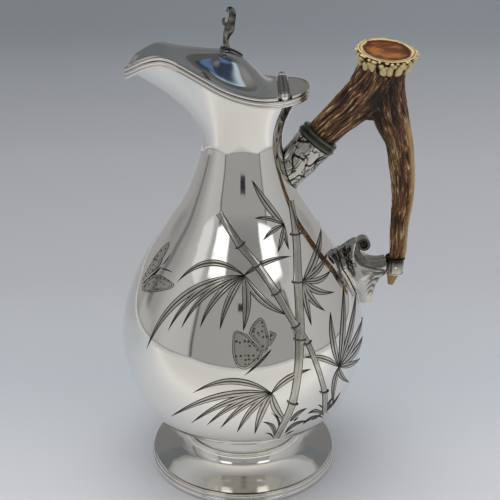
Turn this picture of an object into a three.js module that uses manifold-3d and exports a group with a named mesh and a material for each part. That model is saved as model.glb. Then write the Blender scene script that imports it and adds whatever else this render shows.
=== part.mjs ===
// Silver-plated hot water jug with a hinged lid and a forked antler handle.
// Millimetres, +Z up. The pot's own axis is x = 0, y = 0 while it is worked out: the spout points to -X
// and the handle to +X. At the end the whole jug is moved so that the middle of its base box is the origin.

import * as THREE from 'three';
import { mergeVertices } from 'three/addons/utils/BufferGeometryUtils.js';
import Module from 'manifold-3d';

const wasm = await Module();
wasm.setup();

// Sizes shared by the whole jug
const seamGap = 0.3;              // solder seam or cement line between two pieces
const jointGap = 0.3;             // air between the closed lid and the mouth
const runningGap = 0.1;           // round the hinge pin, in the knuckles that turn on it
const cutOverrun = 2;             // how far a cutting solid runs past what it cuts
const roundCount = 36;            // segments round the pot
const angleNudge = 1e-3;          // step used to find the direction of an outline

// Body: raised shell of sheet, pear shaped, with a pinched neck and a mouth drawn out into a spout
const sheetWall = 1;
const bodyBottomHeight = 20;
const bowlDepth = 64;             // from the widest place of the belly down to its bottom
const bellyHeight = bodyBottomHeight + bowlDepth;
const bellyRadius = 71;
const neckRise = 116;             // from there up to the narrowest place of the neck
const neckHeight = bellyHeight + neckRise;
const neckRadius = 22.2;
const bottomRadiusShares = [0, 0.2, 0.39, 0.51, 0.6, 0.71, 0.805, 0.88, 0.95, 1];
const bottomHeightShares = [0, 0.02, 0.083, 0.148, 0.198, 0.264, 0.338, 0.453, 0.68, 1];
const upperRadiusShares = [1, 0.93, 0.723, 0.455, 0.217, 0.049, 0];
const upperHeightShares = [0, 0.189, 0.397, 0.57, 0.724, 0.897, 1];

// Mouth: seen from above, a rounded heel at the back and a long beak in front
const spoutReach = 63.3;          // axis to the outside of the beak
const heelReach = 36.4;           // axis to the outside of the heel
const mouthHalfWidth = 28.5;
const mouthWidestX = -2;
const heelSquareness = 2.55;      // 2 would be an ellipse, more is squarer
const beakTaper = 1.44;           // 1 would be an ellipse, more is slimmer
const mouthRise = 28.2;           // neck to the parting line of lid and mouth at the hinge
const mouthJointHeight = neckHeight + mouthRise;
const mouthCrestRise = 19.5;      // how far that line climbs towards the spout
const jointReachShares = [-1, -0.826, -0.67, -0.53, -0.333, -0.169, -0.006, 0.158, 0.33, 0.575];
const jointRiseShares = [0.51, 0.85, 1, 0.9, 0.585, 0.308, 0.118, 0.015, 0, 0.07];
const flareStartShare = 0.38;     // upright run of the neck before it flares
const flareReachShare = 0.52;     // how much of the flare lies in its last, slanting run
const flareRiseShare = 0.26;

// Wires soldered round the mouth and the lid
const mouthWireHeight = 3.6;
const mouthWireThickness = 2.1;
const lidWireHeight = 2.3;
const lidWireThickness = 1.9;
const reedDepthShare = 0.22;      // groove between the two reeds of the mouth wire
const reedRoundness = 0.6;        // 1 would be a pointed reed, less is rounder

// Lid: a hooded sheet with a dome under the finial
const lidCrestRise = 25.5;
const crestReachShares = [-0.964, -0.93, -0.88, -0.717, -0.52, -0.254, -0.161, -0.014, 0.106, 0.22, 0.3, 0.4, 0.575];
const crestRiseShares = [0.52, 0.66, 0.8, 1, 0.93, 0.878, 0.859, 0.729, 0.463, 0.19, 0.1, 0.092, 0.145];
const domeShoulder = 1.2;         // 1 would be a plain cosine bell, more is fuller on top

// Hinge across the back of the mouth: five knuckles on one pin
const hingeLineX = 22;
const hingeRise = 2.1;            // above the parting line
const hingeLineHeight = mouthJointHeight + hingeRise;
const knuckleHalfWidth = 2.7;
const knuckleHalfHeight = 1.7;
const hingeHalfLength = 21.6;
const lidKnuckleLength = 8.4;
const middleKnuckleLength = 8.8;
const hingePinRadius = 0.8;
const hingeBossRadius = 2.3;

// Foot: spun hollow foot with a collar wire and a base wire
const footCollarRadius = 33.9;
const footCollarWireHeight = 19;
const footCollarWireRadius = 1.2;
const footWall = 1.1;
const footGrooveRadius = 55;
const footGrooveHeight = 6.9;
const footBaseRadius = 57;
const footBaseWireWidth = 5;
const baseWireStep = 0.5;
const baseWireSwellShare = 0.45;
const baseWireShoulderShare = 0.85;
const footSweepRadiusShares = [0, 0.03, 0.12, 0.3, 0.56, 0.82, 1];
const footSweepHeightShares = [1, 0.78, 0.55, 0.33, 0.16, 0.06, 0];

// Upper socket: cast bark-textured tube that holds the antler's beam
const beamSlope = THREE.MathUtils.degToRad(51.6);
const socketMouthReach = 19.6;    // from the neck
const socketMouthRise = 2;
const socketMouthX = neckRadius + socketMouthReach;
const socketMouthHeight = neckHeight + socketMouthRise;
const socketRadius = 11.2;
const socketFlare = 0.5;
const socketWall = 1.6;
const socketLength = 27;
const socketBoreDepth = 14;
const barkDepth = 0.5;
const barkRidges = 9;
const bandWireRadius = 1.5;
const bandWireCount = 2;
const bandPitchShare = 0.9;
const bandArcs = [-85, -45, 0, 45, 85].map((arc) => THREE.MathUtils.degToRad(arc));
const socketPinRadius = 0.9;

// Antler: a beam and a tine that meet under the burr
const shankRadius = 8.5;
const beamEndBack = 2.4;          // from the middle of the burr
const beamEndDrop = 7.8;
const beamBow = 2.3;
const beamRunShares = [0, 0.2, 0.43, 0.72, 1];
const beamBowShares = [0, 0.27, 0.72, 1, 0];
const beamRadiusShares = [1.03, 1.09, 1.21, 1.42, 1.53];
const tineTopDrop = 4.8;          // below the middle of the burr
const tineTopRadius = 11;
const tineStandOff = 15;          // belly to the tine's tip
const tineTipDrop = 18;           // below the top of its collar
const tineBow = 8;
const tineDropShares = [0, 0.09, 0.17, 0.25, 0.33, 0.41, 0.56, 0.72, 0.84, 0.92, 1];
const tineBowShares = [0, -0.03, 0.11, 0.43, 0.81, 0.93, 1.01, 0.71, 0.56, 0.28, 0];
const tineRadiusShares = [1, 0.96, 0.93, 0.855, 0.7, 0.67, 0.586, 0.49, 0.455, 0.4, 0.15];
const crotchBack = 6.4;           // from the middle of the burr
const crotchDrop = 29.8;
const crotchWebLength = 7.5;
const crotchWebThickness = 7;
const crotchWebDepth = 5.6;
const furrowDepthShare = 0.05;
const furrowCount = 7;
const burrReach = 34.6;           // from the mouth of the socket
const burrRise = 44.8;
const burrX = socketMouthX + burrReach;
const burrHeight = socketMouthHeight + burrRise;
const burrRadius = 17.3;
const burrHalfHeight = 5;
const burrRadiusShares = [0.37, 0.74, 0.9, 0.97, 1, 0.93, 0.785, 0.74, 0.444, 0.074];
const burrHeightShares = [-1.45, -1.34, -1.12, -0.5, 0, 0.55, 0.7, 0.63, 0.84, 0.88];
const burrPearlShares = [0, 0, 1, 1, 0.6, 0.4, 0.1, 0, 0, 0];
const burrTilt = THREE.MathUtils.degToRad(13);
const burrRoll = THREE.MathUtils.degToRad(4);
const pearlCount = 16;
const pearlDepthShare = 0.07;

// Lower bracket: a saddle on the belly, a scroll and the collar that clasps the tine
const saddleTopRise = 4.7;        // above the middle of the volute
const saddleTipDrop = 34.3;       // below it
const saddleCornerDrop = 4;       // how much lower its upper corners lie
const saddleHalfWidth = 13;
const saddleThickness = 2.2;
const saddleSeat = 0.45;          // level distance from the belly, which slopes there
const saddleWidthShares = [1, 0.86, 0.74, 0.69, 0.7, 0.72, 0.72, 0.6, 0.42, 0.27, 0.14];
const saddleRidgeShares = [0.03, 0, 0.01, 0.1, 0.34, 0.97, 0.83, 0.71, 0.65, 0.625, 0.6];
const saddleRidgeWidthShares = [0.33, 0.33, 0.33, 0.3, 0.24, 0.12, 0.11, 0.11, 0.11, 0.11, 0.11];
const saddleHollowWidthShare = 0.45;
const saddleHollowReachShare = 0.34;
const scrollWidth = 8;
const scrollThickness = 3.9;
const scrollSwellShares = [0.35, 0.5, 0.62, 0.75, 0.9, 1, 1.05, 1];
const voluteStandOff = 14.6;      // belly to the middle of the volute
const voluteRise = 52.8;          // above the widest place of the belly
const voluteHeight = bellyHeight + voluteRise;
const voluteRadius = 3.9;
const volutePitchShare = 0.8;
const scrollBowReach = 3.3;       // from the volute
const scrollBowDrop = 8.8;
const scrollSweepReach = 9.3;
const scrollSweepDrop = 11.2;
const tineCollarDrop = 5.3;       // its top, below the middle of the volute
const tineCollarLength = 10.5;
const tineCollarWall = 0.8;
const tineCollarLip = 0.4;
const tineTenonRadius = 4.1;
const tinePinRadius = 0.7;

// Finial: cast scroll on a leaf foot, held by a stud, washer and nut
const finialX = -8;
const finialHeight = 22;
const finialStemRadius = 1.5;
const finialReachShares = [0, -0.025, 0, 0.062, 0.107, 0.14, 0.124, 0.062, 0.008];
const finialRiseShares = [0.06, 0.21, 0.37, 0.51, 0.66, 0.83, 0.95, 0.985, 0.93];
const finialSwellShares = [1.25, 0.85, 1.1, 1.5, 1.35, 1.1, 0.95, 0.8, 0.6];
const curlReachShares = [0.09, -0.01, -0.07, -0.075, -0.035];
const curlRiseShares = [0.6, 0.61, 0.66, 0.74, 0.77];
const curlSwellShares = [0.9, 0.75, 0.6, 0.5, 0.4];
const leafLength = 8.4;
const leafHalfWidth = 2.6;
const leafThickness = 1.7;
const leafTurns = [0, 125, -125].map((turn) => THREE.MathUtils.degToRad(turn));
const studRadius = 1.1;
const washerRadius = 4;
const washerThickness = 0.8;
const nutRadius = 3;
const nutThickness = 2.2;

// Finishes
const silverColour = 0xd9d7d2;
const darkSilverColour = 0x4b4d4b;
const antlerColour = 0x7a5230;

const fullTurn = Math.PI * 2;

// A smooth curve y(x) through points with rising x: cubic pieces whose slopes come from the neighbours.
function smoothThrough(xs, ys) {
  const slopes = xs.map((x, i) => {
    const before = Math.max(i - 1, 0);
    const after = Math.min(i + 1, xs.length - 1);
    return (ys[after] - ys[before]) / (xs[after] - xs[before]);
  });
  return (x) => {
    let i = 0;
    while (i < xs.length - 2 && x > xs[i + 1]) i += 1;
    const span = xs[i + 1] - xs[i];
    const t = Math.min(Math.max((x - xs[i]) / span, 0), 1);
    const startWeight = (1 + 2 * t) * (1 - t) ** 2;
    const startSlopeWeight = t * (1 - t) ** 2 * span;
    const endWeight = t * t * (3 - 2 * t);
    const endSlopeWeight = t * t * (t - 1) * span;
    return startWeight * ys[i] + startSlopeWeight * slopes[i]
      + endWeight * ys[i + 1] + endSlopeWeight * slopes[i + 1];
  };
}

// The same curve through values spread evenly over 0 to 1.
function smoothEvenly(values) {
  return smoothThrough(values.map((value, i) => i / (values.length - 1)), values);
}

function steps(count) {
  return Array.from({ length: count + 1 }, (unused, i) => i / count);
}

function signedVolume(positions, index) {
  const a = new THREE.Vector3();
  const b = new THREE.Vector3();
  const c = new THREE.Vector3();
  let volume = 0;
  for (let i = 0; i < index.length; i += 3) {
    a.fromArray(positions, index[i] * 3);
    b.fromArray(positions, index[i + 1] * 3);
    c.fromArray(positions, index[i + 2] * 3);
    volume += a.dot(b.cross(c));
  }
  return volume;
}

// Skin over a row of rings with equal point counts. The row is capped by a fan at each end, or closes on
// itself when looped. Faces are turned outwards.
function skin(rings, looped = false) {
  const count = rings[0].length;
  const positions = rings.flat().flatMap((point) => [point.x, point.y, point.z]);
  const index = [];
  const bands = looped ? rings.length : rings.length - 1;
  for (let band = 0; band < bands; band += 1) {
    const near = band * count;
    const far = ((band + 1) % rings.length) * count;
    for (let i = 0; i < count; i += 1) {
      const next = (i + 1) % count;
      index.push(near + i, near + next, far + next, near + i, far + next, far + i);
    }
  }
  if (!looped) {
    const firstHub = positions.length / 3;
    const lastHub = firstHub + 1;
    const last = (rings.length - 1) * count;
    for (const ring of [rings[0], rings[rings.length - 1]]) {
      const hub = new THREE.Vector3();
      ring.forEach((point) => hub.add(point));
      hub.divideScalar(count);
      positions.push(hub.x, hub.y, hub.z);
    }
    for (let i = 0; i < count; i += 1) {
      const next = (i + 1) % count;
      index.push(firstHub, next, i, lastHub, last + i, last + next);
    }
  }
  if (signedVolume(positions, index) < 0) index.reverse();
  const geometry = new THREE.BufferGeometry();
  geometry.setAttribute('position', new THREE.Float32BufferAttribute(positions, 3));
  geometry.setIndex(index);
  return geometry;
}

// Solid geometry for joining and cutting, and back again
function toSolid(geometry) {
  const bare = geometry.clone();
  bare.deleteAttribute('normal');
  bare.deleteAttribute('uv');
  const merged = mergeVertices(bare);
  return new wasm.Manifold(new wasm.Mesh({
    numProp: 3,
    vertProperties: new Float32Array(merged.attributes.position.array),
    triVerts: new Uint32Array(merged.index.array),
  }));
}

function toGeometry(solid) {
  const mesh = solid.getMesh();
  const geometry = new THREE.BufferGeometry();
  geometry.setAttribute('position', new THREE.BufferAttribute(new Float32Array(mesh.vertProperties), 3));
  geometry.setIndex(new THREE.BufferAttribute(new Uint32Array(mesh.triVerts), 1));
  return geometry;
}

function cut(geometry, ...tools) {
  return toGeometry(tools.reduce((solid, tool) => solid.subtract(toSolid(tool)), toSolid(geometry)));
}

function join(...pieces) {
  return toGeometry(pieces.map(toSolid).reduce((solid, piece) => solid.add(piece)));
}

function keepInside(geometry, bound) {
  return toGeometry(toSolid(geometry).intersect(toSolid(bound)));
}

// Rings of a solid of revolution about the pot's axis, from profile points {r, z}
function turned(profile, count = roundCount) {
  return turnedAt(0, profile, count);
}

// The same about an upright axis that stands at x
function turnedAt(x, profile, count) {
  const rings = profile.map(({ r, z }) => Array.from({ length: count }, (unused, i) => {
    const angle = (i / count) * fullTurn;
    return new THREE.Vector3(x + r * Math.cos(angle), r * Math.sin(angle), z);
  }));
  return skin(rings, true);
}

// A bar along a curve in the pot's middle plane. section(share) gives points {out, side}: out lies in the
// plane, square to the curve, and side lies along Y.
function middlePlaneBar(curve, stationCount, section) {
  const sideways = new THREE.Vector3(0, 1, 0);
  const rings = steps(stationCount).map((share) => {
    const centre = curve.getPoint(share);
    const out = curve.getTangent(share).cross(sideways).normalize();
    return section(share).map(({ out: reach, side }) => centre.clone()
      .addScaledVector(out, reach)
      .addScaledVector(sideways, side));
  });
  return skin(rings);
}

function ovalSection(outRadius, sideRadius, count, ripple = () => 1) {
  return Array.from({ length: count }, (unused, i) => {
    const angle = (i / count) * fullTurn;
    const reach = ripple(angle);
    return { out: outRadius * reach * Math.cos(angle), side: sideRadius * reach * Math.sin(angle) };
  });
}

function middlePlaneCurve(xs, zs) {
  return new THREE.CatmullRomCurve3(xs.map((x, i) => new THREE.Vector3(x, 0, zs[i])), false, 'centripetal');
}

// A round rod between two points
function rod(from, to, radius, count = 12) {
  const axis = to.clone().sub(from);
  const geometry = new THREE.CylinderGeometry(radius, radius, axis.length(), count);
  const turn = new THREE.Quaternion().setFromUnitVectors(new THREE.Vector3(0, 1, 0), axis.clone().normalize());
  geometry.applyQuaternion(turn);
  const middle = from.clone().add(to).multiplyScalar(0.5);
  geometry.translate(middle.x, middle.y, middle.z);
  return geometry;
}

// Mouth outline

// Outline point for an angle round the mouth, drawn in by inset: 0 is the heel, half a turn the beak.
function mouthPoint(angle, inset) {
  const cosine = Math.cos(angle);
  const sine = Math.abs(Math.sin(angle));
  const side = Math.sign(Math.sin(angle));
  const halfWidth = mouthHalfWidth - inset;
  if (cosine > 0) {
    const heelLength = heelReach - inset - mouthWidestX;
    return {
      x: mouthWidestX + heelLength * cosine ** (2 / heelSquareness),
      y: side * halfWidth * sine ** (2 / heelSquareness),
    };
  }
  const beakLength = spoutReach - inset + mouthWidestX;
  return { x: mouthWidestX + beakLength * cosine, y: side * halfWidth * sine ** beakTaper };
}

// Half width of that outline at a place along X
function mouthHalfWidthAt(x, inset) {
  const halfWidth = mouthHalfWidth - inset;
  if (x > mouthWidestX) {
    const share = Math.min((x - mouthWidestX) / (heelReach - inset - mouthWidestX), 1);
    return halfWidth * (1 - share ** heelSquareness) ** (1 / heelSquareness);
  }
  const share = Math.min((mouthWidestX - x) / (spoutReach - inset + mouthWidestX), 1);
  return halfWidth * (1 - share * share) ** (beakTaper / 2);
}

// Angle on that outline for a place along X behind the widest place
function heelAngleAt(x, inset) {
  const share = (x - mouthWidestX) / (heelReach - inset - mouthWidestX);
  return Math.acos(share ** (heelSquareness / 2));
}

const jointRise = smoothThrough(
  jointReachShares.map((share) => share * spoutReach),
  jointRiseShares.map((share) => share * mouthCrestRise),
);
const jointHeightAt = (x) => mouthJointHeight + jointRise(x);

// Body

const shellInset = mouthWireThickness + seamGap;
const shellDrop = seamGap + jointGap;

// Profile of the pot from the middle of its bottom to the neck
function bodyProfile() {
  const bottom = bottomRadiusShares.map((share, i) => ({
    r: share * bellyRadius,
    z: bodyBottomHeight + bottomHeightShares[i] * (bellyHeight - bodyBottomHeight),
  }));
  const upper = upperRadiusShares.slice(1).map((share, i) => ({
    r: neckRadius + share * (bellyRadius - neckRadius),
    z: bellyHeight + upperHeightShares[i + 1] * (neckHeight - bellyHeight),
  }));
  return [...bottom, ...upper];
}

// The curve runs one step past the neck, to a mirror point, so that the pot meets the neck upright.
const profilePoints = bodyProfile();
const mirrorPoint = { r: profilePoints.at(-2).r, z: 2 * neckHeight - profilePoints.at(-2).z };
const profileRun = new THREE.SplineCurve([...profilePoints, mirrorPoint]
  .map(({ r, z }) => new THREE.Vector2(r, z)));
const profileEnd = (profilePoints.length - 1) / profilePoints.length;
const profileAt = (share) => profileRun.getPoint(share * profileEnd);

// Ring of the body at a share of the way up: the turned pot first, then the flaring neck. offset moves the
// surface outwards.
const potShare = 0.72;

function bodyRing(share, offset) {
  if (share <= potShare) {
    const along = share / potShare;
    const point = profileAt(along);
    const tangent = profileRun.getTangent(along * profileEnd);
    const radius = Math.max(point.x + tangent.y * offset, 0);
    const height = point.y - tangent.x * offset;
    return Array.from({ length: roundCount }, (unused, i) => {
      const angle = (i / roundCount) * fullTurn;
      return new THREE.Vector3(radius * Math.cos(angle), radius * Math.sin(angle), height);
    });
  }
  const along = (share - potShare) / (1 - potShare);
  return Array.from({ length: roundCount }, (unused, i) => {
    const angle = (i / roundCount) * fullTurn;
    const inset = shellInset - offset;
    const rim = mouthPoint(angle, inset);
    const neck = { x: (neckRadius + offset) * Math.cos(angle), y: (neckRadius + offset) * Math.sin(angle) };
    const rimHeight = jointHeightAt(mouthPoint(angle, shellInset).x) - shellDrop;
    const rise = rimHeight - neckHeight;
    const flare = new THREE.CubicBezierCurve3(
      new THREE.Vector3(neck.x, neck.y, neckHeight),
      new THREE.Vector3(neck.x, neck.y, neckHeight + flareStartShare * rise),
      new THREE.Vector3(
        rim.x - flareReachShare * (rim.x - neck.x),
        rim.y - flareReachShare * (rim.y - neck.y),
        rimHeight - flareRiseShare * rise,
      ),
      new THREE.Vector3(rim.x, rim.y, rimHeight),
    );
    return flare.getPoint(along);
  });
}

function bodyStations(potSteps, neckSteps) {
  const pot = steps(potSteps).slice(1).map((share) => share * potShare);
  const neck = steps(neckSteps).slice(1).map((share) => potShare + share * (1 - potShare));
  return [...pot, ...neck];
}

function bodyShell() {
  const outside = bodyStations(20, 7).map((share) => bodyRing(share, 0));
  const inside = bodyStations(9, 4).map((share) => bodyRing(share, -sheetWall)).reverse();
  return skin([...outside, ...inside]);
}

// The space the body fills, grown all round, for cutting what is soldered to it
function bodyBlank(growth) {
  return skin(bodyStations(20, 7).map((share) => bodyRing(share, growth)));
}

// Height of the pot's underside at a radius
function undersideHeightAt(radius) {
  const samples = steps(200).map((share) => profileAt(share / 2));
  return samples.find((point) => point.x >= radius).y;
}

// Wires

// A wire laid along the mouth outline between two angles. Its section gives points {out, up} from the
// wire's inner, lower corner.
function mouthRunWire(startAngle, endAngle, stationCount, inset, baseHeight, section, looped) {
  const shares = looped ? steps(stationCount).slice(0, -1) : steps(stationCount);
  const rings = shares.map((share) => {
    const angle = startAngle + (endAngle - startAngle) * share;
    const here = mouthPoint(angle, inset);
    const before = mouthPoint(angle - angleNudge, inset);
    const after = mouthPoint(angle + angleNudge, inset);
    const length = Math.hypot(after.x - before.x, after.y - before.y);
    const outX = (after.y - before.y) / length;
    const outY = -(after.x - before.x) / length;
    const height = jointHeightAt(mouthPoint(angle, 0).x) + baseHeight;
    return section.map(({ out, up }) => new THREE.Vector3(
      here.x + outX * out,
      here.y + outY * out,
      height + up,
    ));
  });
  return skin(rings, looped);
}

function reededSection(thickness, height, reeds) {
  const outside = steps(3 * reeds).map((share) => {
    const swell = Math.abs(Math.sin(share * reeds * Math.PI)) ** reedRoundness;
    return { out: thickness * (1 - reedDepthShare * (1 - swell)), up: share * height };
  });
  return [{ out: 0, up: 0 }, ...outside, { out: 0, up: height }];
}

function mouthWire() {
  const section = reededSection(mouthWireThickness, mouthWireHeight, 2);
  return mouthRunWire(0, fullTurn, 44, mouthWireThickness, -mouthWireHeight, section, true);
}

const hingeClearX = knuckleHalfWidth + seamGap;

function lidWire() {
  const section = reededSection(lidWireThickness, lidWireHeight - jointGap, 1);
  const start = heelAngleAt(hingeLineX - hingeClearX, 0);
  return mouthRunWire(start, fullTurn - start, 36, lidWireThickness, jointGap, section, false);
}

function heelWire() {
  const section = reededSection(lidWireThickness, lidWireHeight - jointGap, 1);
  const start = heelAngleAt(hingeLineX + hingeClearX, lidWireThickness);
  return mouthRunWire(-start, start, 14, lidWireThickness, jointGap, section, false);
}

// Lid

const lidInset = lidWireThickness + seamGap;
const crestRise = smoothThrough(
  crestReachShares.map((share) => share * spoutReach),
  crestRiseShares.map((share) => share * lidCrestRise),
);
const lidEdgeHeightAt = (x) => jointHeightAt(x) + lidWireHeight;

function lidHeightAt(x, y) {
  const edge = lidEdgeHeightAt(x);
  const crest = Math.max(mouthJointHeight + crestRise(x), edge);
  const halfWidth = Math.max(mouthHalfWidthAt(x, lidInset), seamGap);
  const share = Math.min(Math.abs(y) / halfWidth, 1);
  const bell = Math.cos((Math.PI / 2) * share ** domeShoulder) ** 2;
  return edge + (crest - edge) * bell;
}

// Slab between two offsets of the lid's surface, from one place along X to another
function lidSlab(fromX, toX, topOffset, bottomOffset, stationCount, columnCount) {
  const rings = steps(stationCount).map((share) => {
    const eased = 1 - Math.cos((share * Math.PI) / 2);
    const x = fromX + (toX - fromX) * eased;
    const halfWidth = mouthHalfWidthAt(x, lidInset);
    const across = steps(columnCount).map((column) => (2 * column - 1) * halfWidth);
    const top = across.map((y) => new THREE.Vector3(x, y, lidHeightAt(x, y) + topOffset));
    const bottom = across.map((y) => new THREE.Vector3(x, y, lidHeightAt(x, y) + bottomOffset)).reverse();
    return [...top, ...bottom];
  });
  return skin(rings);
}

const beakInsideX = -(spoutReach - lidInset);
const lidTipX = beakInsideX + seamGap;
const lidBackX = hingeLineX - hingeClearX;
const heelFrontX = hingeLineX + hingeClearX;
const heelBackX = heelReach - lidInset - seamGap;

function lidShell() {
  const sheet = lidSlab(lidTipX, lidBackX, 0, -sheetWall, 22, 10);
  const studHole = rod(
    new THREE.Vector3(finialX, 0, lidHeightAt(finialX, 0) - lidCrestRise),
    new THREE.Vector3(finialX, 0, lidHeightAt(finialX, 0) + lidCrestRise),
    studRadius + seamGap,
  );
  return cut(sheet, studHole);
}

// Fixed plate behind the hinge
function heelPlate() {
  return lidSlab(heelBackX, heelFrontX, 0, -sheetWall, 6, 6);
}

// Hinge

function knuckle(fromY, toY) {
  const section = ovalSection(knuckleHalfWidth, knuckleHalfHeight, 16, (angle) => {
    const square = (Math.abs(Math.cos(angle)) ** 3 + Math.abs(Math.sin(angle)) ** 3) ** (1 / 3);
    return 1 / square;
  });
  const rings = [fromY, toY].map((y) => section.map(({ out, side }) => new THREE.Vector3(
    hingeLineX + out,
    y,
    hingeLineHeight + side,
  )));
  const bore = rod(
    new THREE.Vector3(hingeLineX, fromY - cutOverrun, hingeLineHeight),
    new THREE.Vector3(hingeLineX, toY + cutOverrun, hingeLineHeight),
    hingePinRadius + runningGap,
  );
  return cut(skin(rings), bore);
}

const lidKnuckleStart = middleKnuckleLength / 2 + jointGap;
const outerKnuckleStart = lidKnuckleStart + lidKnuckleLength + jointGap;

function hingePin() {
  return rod(
    new THREE.Vector3(hingeLineX, -hingeHalfLength, hingeLineHeight),
    new THREE.Vector3(hingeLineX, hingeHalfLength, hingeLineHeight),
    hingePinRadius,
  );
}

function hingeBoss(side) {
  const boss = new THREE.SphereGeometry(hingeBossRadius, 12, 6);
  boss.rotateX(Math.PI / 2);
  const height = mouthJointHeight + jointRise(hingeLineX) + seamGap + hingeBossRadius;
  boss.translate(hingeLineX, side * (hingeHalfLength + seamGap + hingeBossRadius), height);
  return boss;
}

// Foot

const footTopHeight = undersideHeightAt(footCollarRadius - footWall) - seamGap;

// Hollow foot: an upright collar that sweeps out to the groove, with an even wall
function footShell() {
  const sweepTop = footCollarWireHeight - footCollarWireRadius;
  const outside = footSweepRadiusShares.map((share, i) => ({
    r: footCollarRadius + share * (footGrooveRadius - footCollarRadius),
    z: footGrooveHeight + footSweepHeightShares[i] * (sweepTop - footGrooveHeight),
  }));
  const top = { r: footCollarRadius, z: footTopHeight };
  const innerTop = { r: footCollarRadius - footWall, z: footTopHeight };
  const inside = outside.filter((point, i) => i % 2 === 0)
    .map(({ r, z }) => ({ r: r - footWall, z: z - footWall }));
  return turned([top, ...outside, ...inside.reverse(), innerTop]);
}

function ringWire(radius, height, wireRadius, count) {
  const section = Array.from({ length: count }, (unused, i) => {
    const angle = (i / count) * fullTurn;
    return { r: radius + wireRadius * Math.cos(angle), z: height + wireRadius * Math.sin(angle) };
  });
  return turned(section);
}

function footCollarWire() {
  return ringWire(
    footCollarRadius + seamGap + footCollarWireRadius,
    footCollarWireHeight,
    footCollarWireRadius,
    6,
  );
}

// Base wire: flat underneath, swelling outside
function footBaseWire() {
  const top = footGrooveHeight - footWall - seamGap;
  const inner = footBaseRadius - footBaseWireWidth;
  return turned([
    { r: inner, z: 0 },
    { r: footBaseRadius, z: 0 },
    { r: footBaseRadius, z: top * baseWireSwellShare },
    { r: footBaseRadius - baseWireStep, z: top * baseWireShoulderShare },
    { r: footGrooveRadius - baseWireStep, z: top },
    { r: inner, z: top },
  ]);
}

// Upper socket and its band

const beamDirection = new THREE.Vector3(Math.cos(beamSlope), 0, Math.sin(beamSlope));
const socketMouth = new THREE.Vector3(socketMouthX, 0, socketMouthHeight);
const alongBeam = (distance) => socketMouth.clone().addScaledVector(beamDirection, distance);

// A turned piece about the beam's axis, from points {r, at}
function turnedOnBeam(profile, count, looped, ripple = () => 0) {
  const sideways = new THREE.Vector3(0, 1, 0);
  const out = beamDirection.clone().cross(sideways);
  const rings = profile.map(({ r, at }) => Array.from({ length: count }, (unused, i) => {
    const angle = (i / count) * fullTurn;
    const reach = r + ripple(angle, at);
    return alongBeam(at)
      .addScaledVector(out, reach * Math.cos(angle))
      .addScaledVector(sideways, reach * Math.sin(angle));
  }));
  return skin(rings, looped);
}

function upperSocket() {
  const stations = steps(5).map((share) => -socketLength + share * socketLength);
  const bark = (angle, at) => barkDepth * Math.sin(barkRidges * angle + at / socketWall)
    * Math.sin((at / socketLength) * Math.PI * 3);
  const solid = turnedOnBeam(
    stations.map((at) => ({ r: socketRadius + socketFlare * (at / socketLength), at })),
    24,
    false,
    bark,
  );
  const bore = turnedOnBeam(
    [{ r: shankRadius + seamGap, at: -socketBoreDepth }, { r: shankRadius + seamGap, at: cutOverrun }],
    24,
    false,
  );
  return cut(solid, bore, bodyBlank(seamGap), socketPinRod(seamGap));
}

const socketPinAt = -socketBoreDepth / 2;

function socketPinRod(growth) {
  const centre = alongBeam(socketPinAt);
  const reach = socketRadius + barkDepth;
  return rod(
    new THREE.Vector3(centre.x, -reach, centre.z),
    new THREE.Vector3(centre.x, reach, centre.z),
    socketPinRadius + growth,
  );
}

const bandInnerRadius = shankRadius + seamGap;

// Two round wires side by side, made as one band round the beam
const bandPitch = 2 * bandWireRadius * bandPitchShare;
const bandLength = seamGap + 2 * bandWireRadius + (bandWireCount - 1) * bandPitch;

function socketBand() {
  const reach = bandInnerRadius + bandWireRadius;
  const outside = Array.from({ length: bandWireCount }, (unused, wire) => {
    const middle = seamGap + bandWireRadius + wire * bandPitch;
    return bandArcs.map((angle) => ({
      r: reach + bandWireRadius * Math.cos(angle),
      at: middle + bandWireRadius * Math.sin(angle),
    }));
  }).flat();
  const inside = [{ r: bandInnerRadius, at: bandLength }, { r: bandInnerRadius, at: seamGap }];
  return turnedOnBeam([...outside, ...inside], 22, true);
}

// Antler

function furrowRipple(share, depthShare = furrowDepthShare) {
  return (angle) => 1 + depthShare * Math.sin(furrowCount * angle + share * fullTurn);
}

// Beam: swells in a shallow bow from the band up to the burr
function beam() {
  const start = alongBeam(bandLength + seamGap);
  const run = new THREE.Vector3(burrX - beamEndBack, 0, burrHeight - beamEndDrop).sub(start);
  const sag = new THREE.Vector3(run.z, 0, -run.x).normalize();
  const points = beamRunShares.map((share, i) => start.clone()
    .addScaledVector(run, share)
    .addScaledVector(sag, beamBow * beamBowShares[i]));
  const radiusShare = smoothEvenly(beamRadiusShares);
  return middlePlaneBar(new THREE.CatmullRomCurve3(points, false, 'centripetal'), 10, (share) => {
    const radius = shankRadius * radiusShare(share);
    return ovalSection(radius, radius, 18, furrowRipple(share));
  });
}

// Shank: the beam's end, turned down to fit the band and the socket
function beamShank() {
  return turnedOnBeam([
    { r: shankRadius, at: seamGap - socketBoreDepth },
    { r: shankRadius, at: bandLength + shankRadius },
  ], 18, false);
}

const tineCollarTop = voluteHeight - tineCollarDrop;
const tineTipHeight = tineCollarTop - tineTipDrop;

function tineCurve() {
  const topHeight = burrHeight - tineTopDrop;
  const lean = bellyRadius + tineStandOff - burrX;
  return middlePlaneCurve(
    tineDropShares.map((share, i) => burrX + lean * share + tineBow * tineBowShares[i]),
    tineDropShares.map((share) => topHeight + (tineTipHeight - topHeight) * share),
  );
}

function tine(growth = 0, depthShare = furrowDepthShare) {
  const radiusShare = smoothEvenly(tineRadiusShares);
  return middlePlaneBar(tineCurve(), 20, (share) => {
    const radius = tineTopRadius * radiusShare(share) + growth;
    return ovalSection(radius, radius, 18, furrowRipple(share, depthShare));
  });
}

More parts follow.
